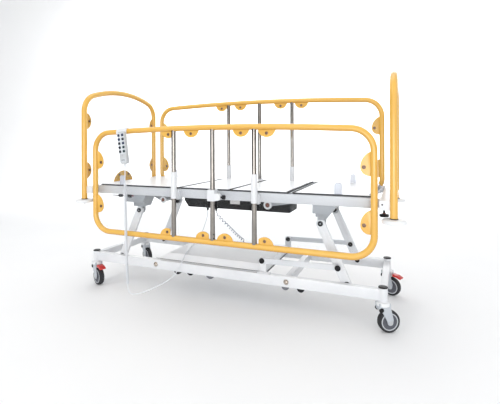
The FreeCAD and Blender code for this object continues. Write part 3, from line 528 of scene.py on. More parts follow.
# =====================================================================  cords
def nurbs(name, pts, bevel, body, mat, cyclic=False):
    cu = bpy.data.curves.new(name, "CURVE")
    cu.dimensions = "3D"
    sp = cu.splines.new("NURBS")
    sp.points.add(len(pts) - 1)
    for q, p in zip(sp.points, pts):
        q.co = (p[0], p[1], p[2], 1.0)
    sp.order_u = 3
    sp.use_endpoint_u = True
    sp.resolution_u = 16
    cu.bevel_depth = bevel
    cu.bevel_resolution = 6
    cu.use_fill_caps = True
    ob = bpy.data.objects.new(name, cu)
    SCN.collection.objects.link(ob)
    cu.materials.append(mat)
    if body:
        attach(ob, body)
    return ob


def route_line(pts, res=24):
    """points along the NURBS through the route's control points"""
    cu = bpy.data.curves.new("route", "CURVE")
    cu.dimensions = "3D"
    sp = cu.splines.new("NURBS")
    sp.points.add(len(pts) - 1)
    for q, p in zip(sp.points, pts):
        q.co = (p[0], p[1], p[2], 1.0)
    sp.order_u = 3
    sp.use_endpoint_u = True
    sp.resolution_u = res
    ob = bpy.data.objects.new("route", cu)
    SCN.collection.objects.link(ob)
    me = bpy.data.meshes.new_from_object(ob)
    line = [v.co.copy() for v in me.vertices]
    bpy.data.objects.remove(ob)
    bpy.data.meshes.remove(me)
    return line


def along(line):
    s = [0.0]
    for a, b in zip(line, line[1:]):
        s.append(s[-1] + (b - a).length)

    def at(d):
        d = max(0.0, min(s[-1], d))
        lo = 0
        hi = len(s) - 1
        while hi - lo > 1:
            m = (lo + hi) // 2
            if s[m] <= d:
                lo = m
            else:
                hi = m
        k = (d - s[lo]) / max(1e-9, s[hi] - s[lo])
        return line[lo].lerp(line[hi], k), (line[hi] - line[lo]).normalized()
    return s[-1], at


def helix(line, r, pitch, start, stop, per=14, blend=0.012, phase=0.0):
    """a curl about the line between two distances along it, straight outside them"""
    total, at = along(line)
    pts = []
    step = pitch / per
    n = int(total / step)
    _, t0 = at(start)
    ref = Vector((0, 1, 0))
    for i in range(n + 1):
        d = total * i / n
        p, t = at(d)
        k = min(1.0, max(0.0, (d - start) / blend)) * min(1.0, max(0.0, (stop - d) / blend))
        k = k * k * (3 - 2 * k)
        a = (ref - t * ref.dot(t)).normalized()
        b = t.cross(a)
        ang = phase + 2 * math.pi * (d - start) / pitch
        pts.append(p + (a * math.cos(ang) + b * math.sin(ang)) * (r * k))
    return pts


# handset lead: thin end and the coiled run, hanging from the handset
LEAD_UP = [(-0.5322, -0.361, 0.738), (-0.5314, -0.3615, 0.705), (-0.5286, -0.3654, 0.673), (-0.528, -0.366, 0.640),
           (-0.524, -0.368, 0.455), (-0.519, -0.369, 0.262), (-0.510, -0.368, 0.070)]
LEAD_TAIL = [(-0.510, -0.368, 0.0697), (-0.509, -0.3679, 0.052), (-0.496, -0.368, 0.037), (-0.472, -0.3665, 0.032),
             (-0.433, -0.361, 0.042), (-0.385, -0.350, 0.062), (-0.340, -0.334, 0.084), (-0.300, -0.312, 0.106),
             (-0.272, -0.287, 0.130), (-0.254, -0.269, 0.158), (-0.243, -0.262, 0.188), (-0.238, -0.250, 0.206),
             (-0.240, -0.230, 0.216), (-0.246, -0.204, 0.232), (-0.258, -0.170, 0.2325), (-0.272, -0.130, 0.231),
             (-0.284, -0.088, 0.232), (-0.283, -0.058, 0.240), (-0.262, -0.048, 0.264), (-0.236, -0.050, 0.300),
             (-0.212, -0.056, 0.344), (-0.192, -0.063, 0.390), (-0.177, -0.066, 0.434), (-0.177, -0.066, 0.474)]
COILED = [(-0.123, -0.064, 0.474), (-0.123, -0.064, 0.450), (-0.108, -0.060, 0.427),
          (-0.079, -0.048, 0.393), (-0.058, -0.020, 0.358), (-0.043, 0.020, 0.318),
          (-0.028, 0.062, 0.282), (-0.014, 0.096, 0.258), (-0.014, 0.096, 0.226)]

up_line = route_line(LEAD_UP, 40)
up_total, _ = along(up_line)
up_pts = helix(up_line, 0.0056, 0.0056, 0.100, up_total - 0.006, per=14, blend=0.014)
bm = bmesh.new()
tube(bm, up_pts, 0.0023, seg=8)
lead_up = add("lead_upper", bm, "handset", M["cord"], "lead_white", 60)
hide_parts("lead_top", "lead_coil")

lead_tail = nurbs("lead_run", LEAD_TAIL, 0.0024, "base", M["cord"])
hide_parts("lead_tail")
tail_line = route_line(LEAD_TAIL, 40)

coil_line = route_line(COILED, 40)
coil_total, _ = along(coil_line)
coil_pts = helix(coil_line, 0.0068, 0.0215, 0.030, coil_total - 0.020, per=18, blend=0.02)
bm = bmesh.new()
tube(bm, coil_pts, 0.0019, seg=8)
coiled = add("coiled_lead_wire", bm, "deck", M["lead"], "lead_grey", 60)
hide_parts("coiled_lead")

# =====================================================================  base
soften("base_beam_front", 0.0022, M["white"])
soften("base_beam_back", 0.0022, M["white"])
soften("base_cross_beams", 0.0022, M["white"])
soften("corner_posts", 0.0012, M["white"])
soften("base_cover", 0.004, M["cover"], angle=20)
soften("link_carriage", 0.0012, M["white"])

POSTS = {"fl": (-0.850, -0.238, -23.0), "fr": (0.800, -0.238, 30.0), "bl": (-0.850, 0.238, -26.0), "br": (0.800, 0.238, -24.0)}
bm = bmesh.new()
for x, y, a in POSTS.values():
    lathe(bm, [(0, 0.2001), (0.0203, 0.2001), (0.0205, 0.2012), (0.0205, 0.2035), (0.0195, 0.2050), (0.0165, 0.2058), (0, 0.2060)], (x, y, 0), Z, 48)
caps = add("corner_caps_round", bm, "base", M["black"], "black_plastic")
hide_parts("corner_caps")

# pivot pins at the arms' feet, and dome nuts on the side beams
bm = bmesh.new()
for px in (-0.671, 0.640):
    for sg in (1, -1):
        lathe(bm, [(0, -0.0058), (0.0115, -0.0058), (0.0129, -0.0048), (0.0129, -0.0012), (0.0079, -0.0012), (0.0079, 0.0155), (0.0185, 0.0155), (0.0189, 0.0158), (0.0189, 0.0169), (0, 0.0169)],
              (px, 0.206 * sg, 0.180), (0, sg, 0), 48)
pins = add("arm_foot_pins", bm, "base", M["black"], "chrome")
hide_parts("base_pins")
bm = bmesh.new()
for px in (-0.409, 0.353):
    for sg in (1, -1):
        lathe(bm, [(0, 0), (0.0128, 0), (0.0130, 0.0004), (0.0130, 0.0014), (0.0120, 0.0020), (0.0115, 0.0027), (0.0107, 0.0043), (0.0090, 0.0061), (0.0063, 0.0074), (0.0032, 0.0083), (0, 0.0085)],
              (px, 0.253 * sg, 0.170), (0, sg, 0), 48)
add("dome_nuts", bm, "base", M["dome"], "chrome")

# weld beads where the beams meet the posts, and small black clips under the front beam
bm = bmesh.new()
for x, y, a in POSTS.values():
    for z0, z1 in ((0.1452, 0.1948),):
        inx = 1 if x < 0 else -1
        for sy in (1, -1):
            yy = y + sy * 0.0148
            px = x + inx * 0.0136
            tube(bm, [(px, yy, z0 + (z1 - z0) * k / 12.0) for k in range(13)], [0.0016 + 0.0004 * (k % 2) for k in range(13)], seg=8)
add("base_welds", bm, "base", M["white"], "white_paint", 80)

def buffers(name, spots, mat):
    bm = bmesh.new()
    for cx, r, drop in spots:
        c0 = 0.1455 - drop + r
        half = math.acos(max(-1.0, min(1.0, (c0 - 0.1455) / r)))
        seg = [(r * math.sin(-half + 2 * half * k / 24), c0 - 0.1455 - r * math.cos(-half + 2 * half * k / 24)) for k in range(25)]
        prism(bm, seg, (Vector((cx, 0, 0.1455)), X, Z, -Y), 0.2290, 0.2465, 0.0016, 2)
        lathe(bm, [(0, 0), (r * 0.26, 0), (r * 0.28, 0.0004), (r * 0.28, 0.0016), (0, 0.0022)], (cx, -0.2465, 0.1455 - drop * 0.52), (0, -1, 0), 24)
    add(name, bm, "base", mat, "black_plastic")


buffers("base_buffers_black", ((-0.270, 0.0270, 0.0165), (-0.190, 0.0225, 0.0135), (0.424, 0.0190, 0.0190)), M["black"])
buffers("base_buffers_grey", ((-0.069, 0.0270, 0.0165), (0.347, 0.0215, 0.0175)), M["grey_rubber"])

# shadow gaps round the cover's foot
bm = bmesh.new()
for sg in (1, -1):
    block(bm, (-0.428, sg * 0.2229, 0.1902), (0.238, sg * 0.2202, 0.1962), 0.0003, 1)
block(bm, (0.2398, -0.2200, 0.1902), (0.2416, 0.2200, 0.1985), 0.0003, 1)
add("cover_gap_shadow", bm, "base", M["seam"], "black_plastic")

# =====================================================================  casters
for tag, (px, py, ang) in POSTS.items():
    rot = Matrix.Rotation(rad(ang), 4, "Z")
    to = Matrix.Translation((px, py, 0)) @ rot
    ax = rot @ Y
    ctr = to @ Vector((0.025, 0, 0.050))
    w = "wheel_" + tag
    bm = bmesh.new()
    prof = [(0.0385, -0.0130), (0.0420, -0.0143), (0.0450, -0.0142), (0.0474, -0.0130), (0.0488, -0.0108), (0.0496, -0.0070), (0.0500, 0.0),
            (0.0496, 0.0070), (0.0488, 0.0108), (0.0474, 0.0130), (0.0450, 0.0142), (0.0420, 0.0143), (0.0385, 0.0130), (0.0378, 0.0), (0.0385, -0.0130)]
    lathe(bm, prof, ctr, ax, 72)
    t = add("tyre_" + tag, bm, w, M["tyre"], "tyre_grey")
    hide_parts("caster_wheel_" + tag)
    bm = bmesh.new()
    for sg in (1, -1):
        lathe(bm, [(0.0388, 0.0100), (0.0388, 0.0137), (0.0380, 0.0144), (0.0350, 0.0144), (0.0342, 0.0137), (0.0342, 0.0100)], ctr, ax * sg, 72)
    add("rim_ring_" + tag, bm, w, M["rim"], "grey_plastic")
    bm = bmesh.new()
    for sg in (1, -1):
        lathe(bm, [(0.0345, 0.0020), (0.0345, 0.0125), (0.0335, 0.0131), (0.0260, 0.0119), (0.0160, 0.0115), (0.0140, 0.0125), (0.0135, 0.0149), (0.0120, 0.0154), (0.0042, 0.0154), (0.0042, 0.0020)], ctr, ax * sg, 72)
        for k in range(6):
            a = math.pi * 2 * k / 6
            u = rot @ Vector((math.cos(a), 0, math.sin(a)))
            tube(bm, [ctr + u * 0.0145 + ax * sg * 0.0121, ctr + u * 0.0325 + ax * sg * 0.0125], 0.0013, seg=8)
    add("wheel_disc_" + tag, bm, w, M["disc"], "black_plastic")
    f = soften("caster_fork_" + tag, 0.0024, M["fork"], seg=3, angle=30)
    bm = bmesh.new()
    for sg in (1, -1):
        c2 = ctr + ax * sg * 0.0215
        lathe(bm, [(0, 0), (0.0088, 0), (0.0090, 0.0006), (0.0090, 0.0026), (0.0080, 0.0031), (0.0052, 0.0031), (0.0050, 0.0014), (0, 0.0012)], c2, ax * sg, 6)
    add("axle_nuts_" + tag, bm, "fork_" + tag, M["steel"], "chrome", 20)
    bm = bmesh.new()
    base = to @ Vector((0, 0, 0))
    lathe(bm, [(0.0262, 0.1210), (0.0282, 0.1218), (0.0290, 0.1238), (0.0290, 0.1322), (0.0278, 0.1356), (0.0235, 0.1378), (0.0192, 0.1384)], (base.x, base.y, 0), Z, 48)
    add("swivel_collar_" + tag, bm, "fork_" + tag, M["white_pl"], "grey_plastic")
    bm = bmesh.new()
    c3 = to @ Vector((-0.0175, 0, 0.1065))
    for sg in (1, -1):
        lathe(bm, [(0, 0.0175), (0.0102, 0.0175), (0.0110, 0.0181), (0.0110, 0.0217), (0.0098, 0.0226), (0, 0.0228)], c3, ax * sg, 32)
    add("thread_guard_" + tag, bm, "fork_" + tag, M["black"], "black_plastic")
    if "brake_pedal_" + tag in NODES:
        soften("brake_pedal_" + tag, 0.0020, M["red"], seg=3, angle=25)
        bm = bmesh.new()
        for k in range(4):
            x0 = 0.0640 + 0.0042 * k
            z0 = 0.1177 - 0.00195 * (k * 1.0) - 0.0003
            a = to @ Vector((x0, -0.0135, z0))
            b = to @ Vector((x0, 0.0135, z0))
            tube(bm, [a, b], 0.00075, seg=8)
        add("pedal_ribs_" + tag, bm, "pedal_" + tag, M["red"], "red_plastic")
        bm = bmesh.new()
        c4 = to @ Vector((0.034, 0, 0.116))
        for sg in (1, -1):
            lathe(bm, [(0, 0.0172), (0.0044, 0.0172), (0.0046, 0.0176), (0.0046, 0.0208), (0.0040, 0.0212), (0, 0.0212)], c4, ax * sg, 24)
        add("pedal_pin_" + tag, bm, "pedal_" + tag, M["steel"], "chrome")

# =====================================================================  lift
soften("lift_arms_left", 0.0030, M["white"], angle=40)
soften("lift_arms_right", 0.0030, M["white"], angle=40)
soften("link_bars", 0.0020, M["grey"], angle=40)
soften("deck_brackets", 0.0024, M["bracket"], angle=40)
soften("slide_blocks", 0.0024, M["bracket"], angle=40)


LINK_IN = 0.2248


def pin_cap(bm, at, axis, r=0.0135, h=0.0075):
    lathe(bm, [(0, 0), (r, 0), (r * 1.02, h * 0.15), (r * 1.02, h * 0.55), (r * 0.9, h * 0.9), (r * 0.6, h), (r * 0.35, h), (r * 0.3, h * 0.72), (0, h * 0.70)], at, axis, 40)


bm = bmesh.new()
for sg in (1, -1):
    pin_cap(bm, (-0.547, 0.2214 * sg, 0.462), (0, sg, 0), 0.0128, 0.0062)
add("pivot_caps_left", bm, "deck", M["black"], "black_plastic")
bm = bmesh.new()
for sg in (1, -1):
    pin_cap(bm, (0.516, 0.2214 * sg, 0.462), (0, sg, 0), 0.0128, 0.0062)
add("pivot_caps_right", bm, "slides", M["black"], "black_plastic")
bm = bmesh.new()
for sg in (1, -1):
    pin_cap(bm, (0.602, 0.2510 * sg, 0.267), (0, sg, 0))
add("link_caps_arm", bm, "arms_right", M["black"], "black_plastic")
bm = bmesh.new()
for sg in (1, -1):
    pin_cap(bm, (0.225, 0.2462 * sg, 0.258), (0, sg, 0))
add("link_caps_end", bm, "links", M["black"], "black_plastic")

# the pins' inner heads
bm = bmesh.new()
for sg in (1, -1):
    pin_cap(bm, (-0.547, 0.1899 * sg, 0.462), (0, -sg, 0), 0.0160, 0.0120)
add("pivot_heads_left", bm, "deck", M["black"], "black_plastic")
bm = bmesh.new()
for sg in (1, -1):
    pin_cap(bm, (0.516, 0.1899 * sg, 0.462), (0, -sg, 0), 0.0118, 0.0062)
add("pivot_heads_right", bm, "slides", M["black"], "black_plastic")
bm = bmesh.new()
for sg in (1, -1):
    pin_cap(bm, (0.602, 0.2048 * sg, 0.267), (0, -sg, 0), 0.0130, 0.0070)
add("link_heads_arm", bm, "arms_right", M["black"], "black_plastic")
bm = bmesh.new()
for sg in (1, -1):
    pin_cap(bm, (0.225, LINK_IN * sg, 0.258), (0, -sg, 0), 0.0130, 0.0070)
add("link_heads_end", bm, "links", M["black"], "black_plastic")

# =====================================================================  deck
soften("deck_beam_front", 0.0030, M["beam"])
soften("deck_beam_back", 0.0030, M["beam"])
# the cross tubes carry painted shade: the darker copy of the grey coat
soften("deck_cross_tubes", 0.0022, M["under"])
for nm in ("panel_back", "panel_seat", "panel_thigh", "panel_calf"):
    soften(nm, 0.0026, M["laminate"], seg=1)
# painted shadow: flat black strips on the panels' top faces along the seams stand for the shaded gaps between the
# panels
for nm, bd, ends in (("panel_back", "backrest", ((1, 0.0085),)), ("panel_seat", "deck", ((0, 0.0085), (1, 0.0085))),
                     ("panel_thigh", "thigh", ((0, 0.0085), (1, 0.0130))), ("panel_calf", "calf", ((0, 0.0130),))):
    lo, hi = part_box(nm)
    bm = bmesh.new()
    for e, w in ends:
        x0, x1 = (hi[0] - w, hi[0] + 0.0022) if e else (lo[0] - 0.0022, lo[0] + w)
        block(bm, (x0, lo[1] + 0.0025, hi[2] - 0.0040), (x1, hi[1] - 0.0025, hi[2] + 0.0003), 0.0002, 1)
    add("seam_shade_strip_" + nm, bm, bd, M["gap"], "black_plastic")
soften("back_frame", 0.0018, M["bracket"], angle=40)
soften("thigh_frame", 0.0018, M["bracket"], angle=40)
soften("drive_box", 0.0060, M["drive"], seg=4, angle=20)
soften("rail_guides", 0.0030, M["white"], angle=40)
soften("retainers_back", 0.0016, M["flap"], angle=40)
soften("retainers_calf", 0.0016, M["flap"], angle=40)
for n in ("latch_knob_front", "latch_knob_back"):
    soften(n, 0.0018, M["black"], angle=40)

# bushes on the torque tubes
bm = bmesh.new()
for sg in (1, -1):
    lathe(bm, [(0.0130, 0.1490), (0.0188, 0.1490), (0.0195, 0.1500), (0.0195, 0.1600), (0.0186, 0.1612), (0.0120, 0.1612), (0.0112, 0.1602), (0.0112, 0.1560), (0, 0.1558)], (-0.424, 0, 0.520), (0, sg, 0), 40)
add("back_bushes", bm, "backrest", M["white_pl"], "light_grey")
bm = bmesh.new()
for sg in (1, -1):
    lathe(bm, [(0, 0.1559), (0.0108, 0.1559), (0.0108, 0.1592), (0.0098, 0.1602), (0, 0.1602)], (-0.424, 0, 0.520), (0, sg, 0), 40)
add("back_bush_plugs", bm, "backrest", M["brown"], "light_grey")
bm = bmesh.new()
for sg in (1, -1):
    lathe(bm, [(0.0140, 0.1480), (0.0212, 0.1480), (0.0220, 0.1490), (0.0220, 0.1600), (0.0210, 0.1612), (0.0135, 0.1612), (0.0127, 0.1602), (0.0127, 0.1560), (0, 0.1558)], (0.226, 0, 0.525), (0, sg, 0), 40)
add("thigh_bushes", bm, "thigh", M["white_pl"], "light_grey")
bm = bmesh.new()
for sg in (1, -1):
    lathe(bm, [(0, 0.1559), (0.0122, 0.1559), (0.0122, 0.1592), (0.0112, 0.1602), (0, 0.1602)], (0.226, 0, 0.525), (0, sg, 0), 40)
add("thigh_bush_plugs", bm, "thigh", M["brown"], "light_grey")

# drive box: seams, lid screws, ribs, a bare plate and grommets
bm = bmesh.new()
for x in (-0.250, 0.244):
    block(bm, (x - 0.0012, -0.0758, 0.481), (x + 0.0012, 0.0758, 0.562), 0.0004, 1)
block(bm, (-0.325, -0.0758, 0.5238), (0.317, -0.0748, 0.5252), 0.0003, 1)
block(bm, (-0.325, 0.0748, 0.5238), (0.317, 0.0758, 0.5252), 0.0003, 1)
for k in range(9):
    x = -0.220 + 0.062 * k
    if -0.05 < x < 0.06 or x > 0.235:
        continue
    for sg in (1, -1):
        y = sg * 0.0754
        block(bm, (x - 0.0016, y - 0.0008, 0.488), (x + 0.0016, y + 0.0008, 0.512), 0.0006, 2)
add("drive_ribs", bm, "deck", M["drive"], "black_plastic")
bm = bmesh.new()
for x in (-0.300, -0.060, 0.140, 0.298):
    for sg in (1, -1):
        screw(bm, (x, sg * 0.0750, 0.545), (0, sg, 0), 0.0036, 0.002, False)
add("drive_screws", bm, "deck", M["steel"], "chrome")
bm = bmesh.new()
block(bm, (-0.0276, -0.0766, 0.5057), (0.0322, -0.0748, 0.5280), 0.0006, 2)
add("drive_plate", bm, "deck", M["plate"], "light_grey")
bm = bmesh.new()
for p in ((-0.177, -0.066), (-0.123, -0.064)):
    lathe(bm, [(0.0026, -0.016), (0.0040, -0.0158), (0.0052, -0.010), (0.0075, -0.003), (0.0080, 0.0), (0.0080, 0.001), (0, 0.001)], (p[0], p[1], 0.474), Z, 28)
add("drive_grommets", bm, "deck", M["black"], "black_plastic")
bm = bmesh.new()
lathe(bm, [(0.0026, 0.014), (0.0038, 0.0138), (0.0048, 0.008), (0.0072, 0.002), (0.0080, 0.0), (0, 0.0)], (-0.014, 0.096, 0.226), Z, 28)
add("cover_grommet", bm, "base", M["black"], "black_plastic")

# =====================================================================  tube frames
def arched(a, low, crown, ra, rc, closed):
    """same outline as the solid: straight sides, arched top, rounded corners; in metres"""
    cz = crown - ra
    kz = cz + math.sqrt((ra - rc) ** 2 - (a - rc) ** 2)
    th = math.atan2(kz - cz, a - rc)
    pts = []

    def arc(cx, cy, r, a0, a1, n):
        for i in range(n + 1):
            q = a0 + (a1 - a0) * i / n
            pts.append((cx + r * math.cos(q), cy + r * math.sin(q)))
    if closed:
        for i in range(12):
            pts.append((a * 0 + (a - rc) * i / 12.0, low))
        arc(a - rc, low + rc, rc, -math.pi / 2, 0, 20)
    else:
        for i in range(8):
            pts.append((a, low + (kz - low) * i / 8.0))
    if closed:
        for i in range(1, 8):
            pts.append((a, low + rc + (kz - low - rc) * i / 8.0))
    arc(a - rc, kz, rc, 0, th, 20)
    arc(0, cz, ra, th + (math.pi - 2 * th) / 30.0, math.pi - th - (math.pi - 2 * th) / 30.0, 28)
    arc(-(a - rc), kz, rc, math.pi - th, math.pi, 20)
    if closed:
        for i in range(1, 8):
            pts.append((-a, kz - (kz - low - rc) * i / 8.0))
        arc(-(a - rc), low + rc, rc, math.pi, 1.5 * math.pi, 20)
        for i in range(1, 12):
            pts.append((-(a - rc) * (1 - i / 12.0), low))
    else:
        for i in range(1, 9):
            pts.append((-a, kz - (kz - low) * i / 8.0))
    return pts


def moon(r, off, t0=-1e9, t1=1e9, n=26):
    """half disc outline above its own centre line, clipped sideways"""
    o = []
    for i in range(n + 1):
        a = math.pi * i / n
        u, v = r * math.cos(a), off + r * math.sin(a)
        u = max(t0, min(t1, u))
        o.append((u, v))
    out = []
    for p in o:
        if not out or (abs(p[0] - out[-1][0]) > 1e-5 or abs(p[1] - out[-1][1]) > 1e-5):
            out.append(p)
    b0, b1 = out[0][0], out[-1][0]
    out += [(b1, 0.0), (b0, 0.0)]
    return out


def arc_points(a, m, b, n):
    """points on the circle through three points, from a to b"""
    ax_, ay, bx_, by, cx_, cy = a[0], a[1], m[0], m[1], b[0], b[1]
    d = 2 * (ax_ * (by - cy) + bx_ * (cy - ay) + cx_ * (ay - by))
    ux = ((ax_ ** 2 + ay ** 2) * (by - cy) + (bx_ ** 2 + by ** 2) * (cy - ay) + (cx_ ** 2 + cy ** 2) * (ay - by)) / d
    uy = ((ax_ ** 2 + ay ** 2) * (cx_ - bx_) + (bx_ ** 2 + by ** 2) * (ax_ - cx_) + (cx_ ** 2 + cy ** 2) * (bx_ - ax_)) / d
    r = math.hypot(ax_ - ux, ay - uy)
    a0, a1 = math.atan2(ay - uy, ax_ - ux), math.atan2(cy - uy, cx_ - ux)
    am = math.atan2(by - uy, bx_ - ux)
    while a1 > a0:
        a1 -= 2 * math.pi
    while am > a0:
        am -= 2 * math.pi
    if am < a1:
        a1 += 2 * math.pi
    return [(ux + r * math.cos(a0 + (a1 - a0) * i / n), uy + r * math.sin(a0 + (a1 - a0) * i / n)) for i in range(n + 1)]


FIN = arc_points((-0.062, 0.0), (-0.03497, 0.03624), (0.008, 0.050), 14) + arc_points((0.008, 0.050), (0.0391, 0.0343), (0.045, 0.0), 12)[1:]
FRONT = (-0.238, -0.008, 0.218)
BACK = (-0.224, 0.002, 0.224)
TRAVEL = 0.194
for sg, nm, xs, upz, tx, bx in ((-1, "front", FRONT, 0.0, (-0.270, -0.132, 0.149, 0.283), (-0.278, -0.062, 0.060, 0.271)),
                                (1, "back", BACK, TRAVEL, (-0.276, -0.136, 0.148, 0.286), (-0.270, -0.060, 0.062, 0.270))):
    body = "rail_" + nm
    y = 0.330 * sg
    pts = [Vector((u, y, v + upz)) for u, v in arched(0.770, 0.350, 0.931, 13.2, 0.100, True)]
    bm = bmesh.new()
    tube(bm, pts, 0.0150, closed=True, seg=36)
    fr = add("rail_tube_" + nm, bm, body, M["yellow"], "yellow_paint", 60)
    low = 0.350 + upz

    def topz(x):
        return 0.931 + upz - 13.2 + math.sqrt(13.2 ** 2 - x * x)

    bm = bmesh.new()
    bs = bmesh.new()
    O = Vector((0, y, 0))

    def clip(cx, half):
        t0, t1 = -1e9, 1e9
        for p in xs:
            if p > cx and p - half < cx + 0.045:
                t1 = p - half - cx
            if p < cx and p + half > cx - 0.045:
                t0 = p + half - cx
        return t0, t1

    for x in tx:
        a, b = clip(x, 0.0128)
        prism(bm, moon(0.045, 0.005, a, b), (Vector((x, y, topz(x))), X, -Z, Y), -0.0025, 0.0025, 0.0008)
        for s2 in (1, -1):
            screw(bs, (x, y + 0.0025 * s2, topz(x) - 0.030), (0, s2, 0))
    for x in bx:
        a, b = clip(x, 0.0222)
        prism(bm, moon(0.045, 0.005, a, b), (Vector((x, y, low)), X, Z, Y), -0.0025, 0.0025, 0.0008)
        for s2 in (1, -1):
            screw(bs, (x, y + 0.0025 * s2, low + 0.030), (0, s2, 0))
    for z in (low + 0.150, low + 0.402):
        for s3 in (1, -1):
            prism(bm, FIN, (Vector((0.762 * s3, y, z)), -Z, -X * s3, Y), -0.0025, 0.0025, 0.0008)
            for s2 in (1, -1):
                screw(bs, (0.728 * s3, y + 0.0025 * s2, z - 0.008), (0, s2, 0), 0.0054)
    tabs = add("rail_tabs_" + nm, bm, body, M["yellow"], "yellow_paint", 50)
    add("rail_screws_" + nm, bs, body, M["bolt"], "chrome", 40)
    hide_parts("rail_frame_" + nm)
    # posts
    bm = bmesh.new()
    for x in xs:
        lathe(bm, [(0.0125, low + 0.010), (0.0125, topz(x) - 0.010)], (x, y, 0), Z, 48)
    po = add("rail_post_tubes_" + nm, bm, body, M["chrome"], "chrome", 60)
    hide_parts("rail_posts_" + nm)
    bm = bmesh.new()
    for x in xs:
        for zc, s2 in ((low + 0.0136, 1), (topz(x) - 0.0136, -1)):
            ring = [Vector((x + 0.0132 * math.cos(q), y + 0.0132 * math.sin(q), zc - s2 * (0.0142 - math.sqrt(max(0.0, 0.0150 ** 2 - (0.0132 * math.sin(q)) ** 2))))) for q in [2 * math.pi * k / 36 for k in range(36)]]
            tube(bm, ring, 0.0010, closed=True, seg=8)
    add("rail_welds_" + nm, bm, body, M["yellow"], "yellow_paint", 80)
    # painted shade: flat black discs on the middle post stand for its lock holes, dark where the holes' insides are in
    # shade
    bm = bmesh.new()
    for zz, rr in ((low + 0.0410, 0.0036), (low + 0.0215, 0.0042)):
        d = Vector((0.84, -0.54 if sg < 0 else 0.54, 0)).normalized()
        e = Vector((-d.y, d.x, 0))
        had = set(bm.verts)
        lathe(bm, [(0, -0.0010), (rr * 0.5, -0.0010), (rr, -0.0010), (rr, 0.0), (rr * 0.75, 0.0), (rr * 0.5, 0.0), (rr * 0.25, 0.0), (0, 0.0)], Vector((xs[1], y, zz)) + d * 0.0122, d, 24)
        # laid on the tube's own curve, so that it passes through the sleeve
        for v in [q for q in bm.verts if q not in had]:
            rel = Vector((v.co.x - xs[1], v.co.y - y, 0))
            side = rel.dot(e)
            r = 0.01253 if rel.dot(d) > 0.0117 else 0.0118
            c = d * math.sqrt(r * r - side * side) + e * side
            v.co = Vector((xs[1] + c.x, y + c.y, v.co.z))
    add("post_lock_hole_shade_" + nm, bm, body, M["black"], "black_plastic")
    paint("rail_panels_" + nm, M["clear"])

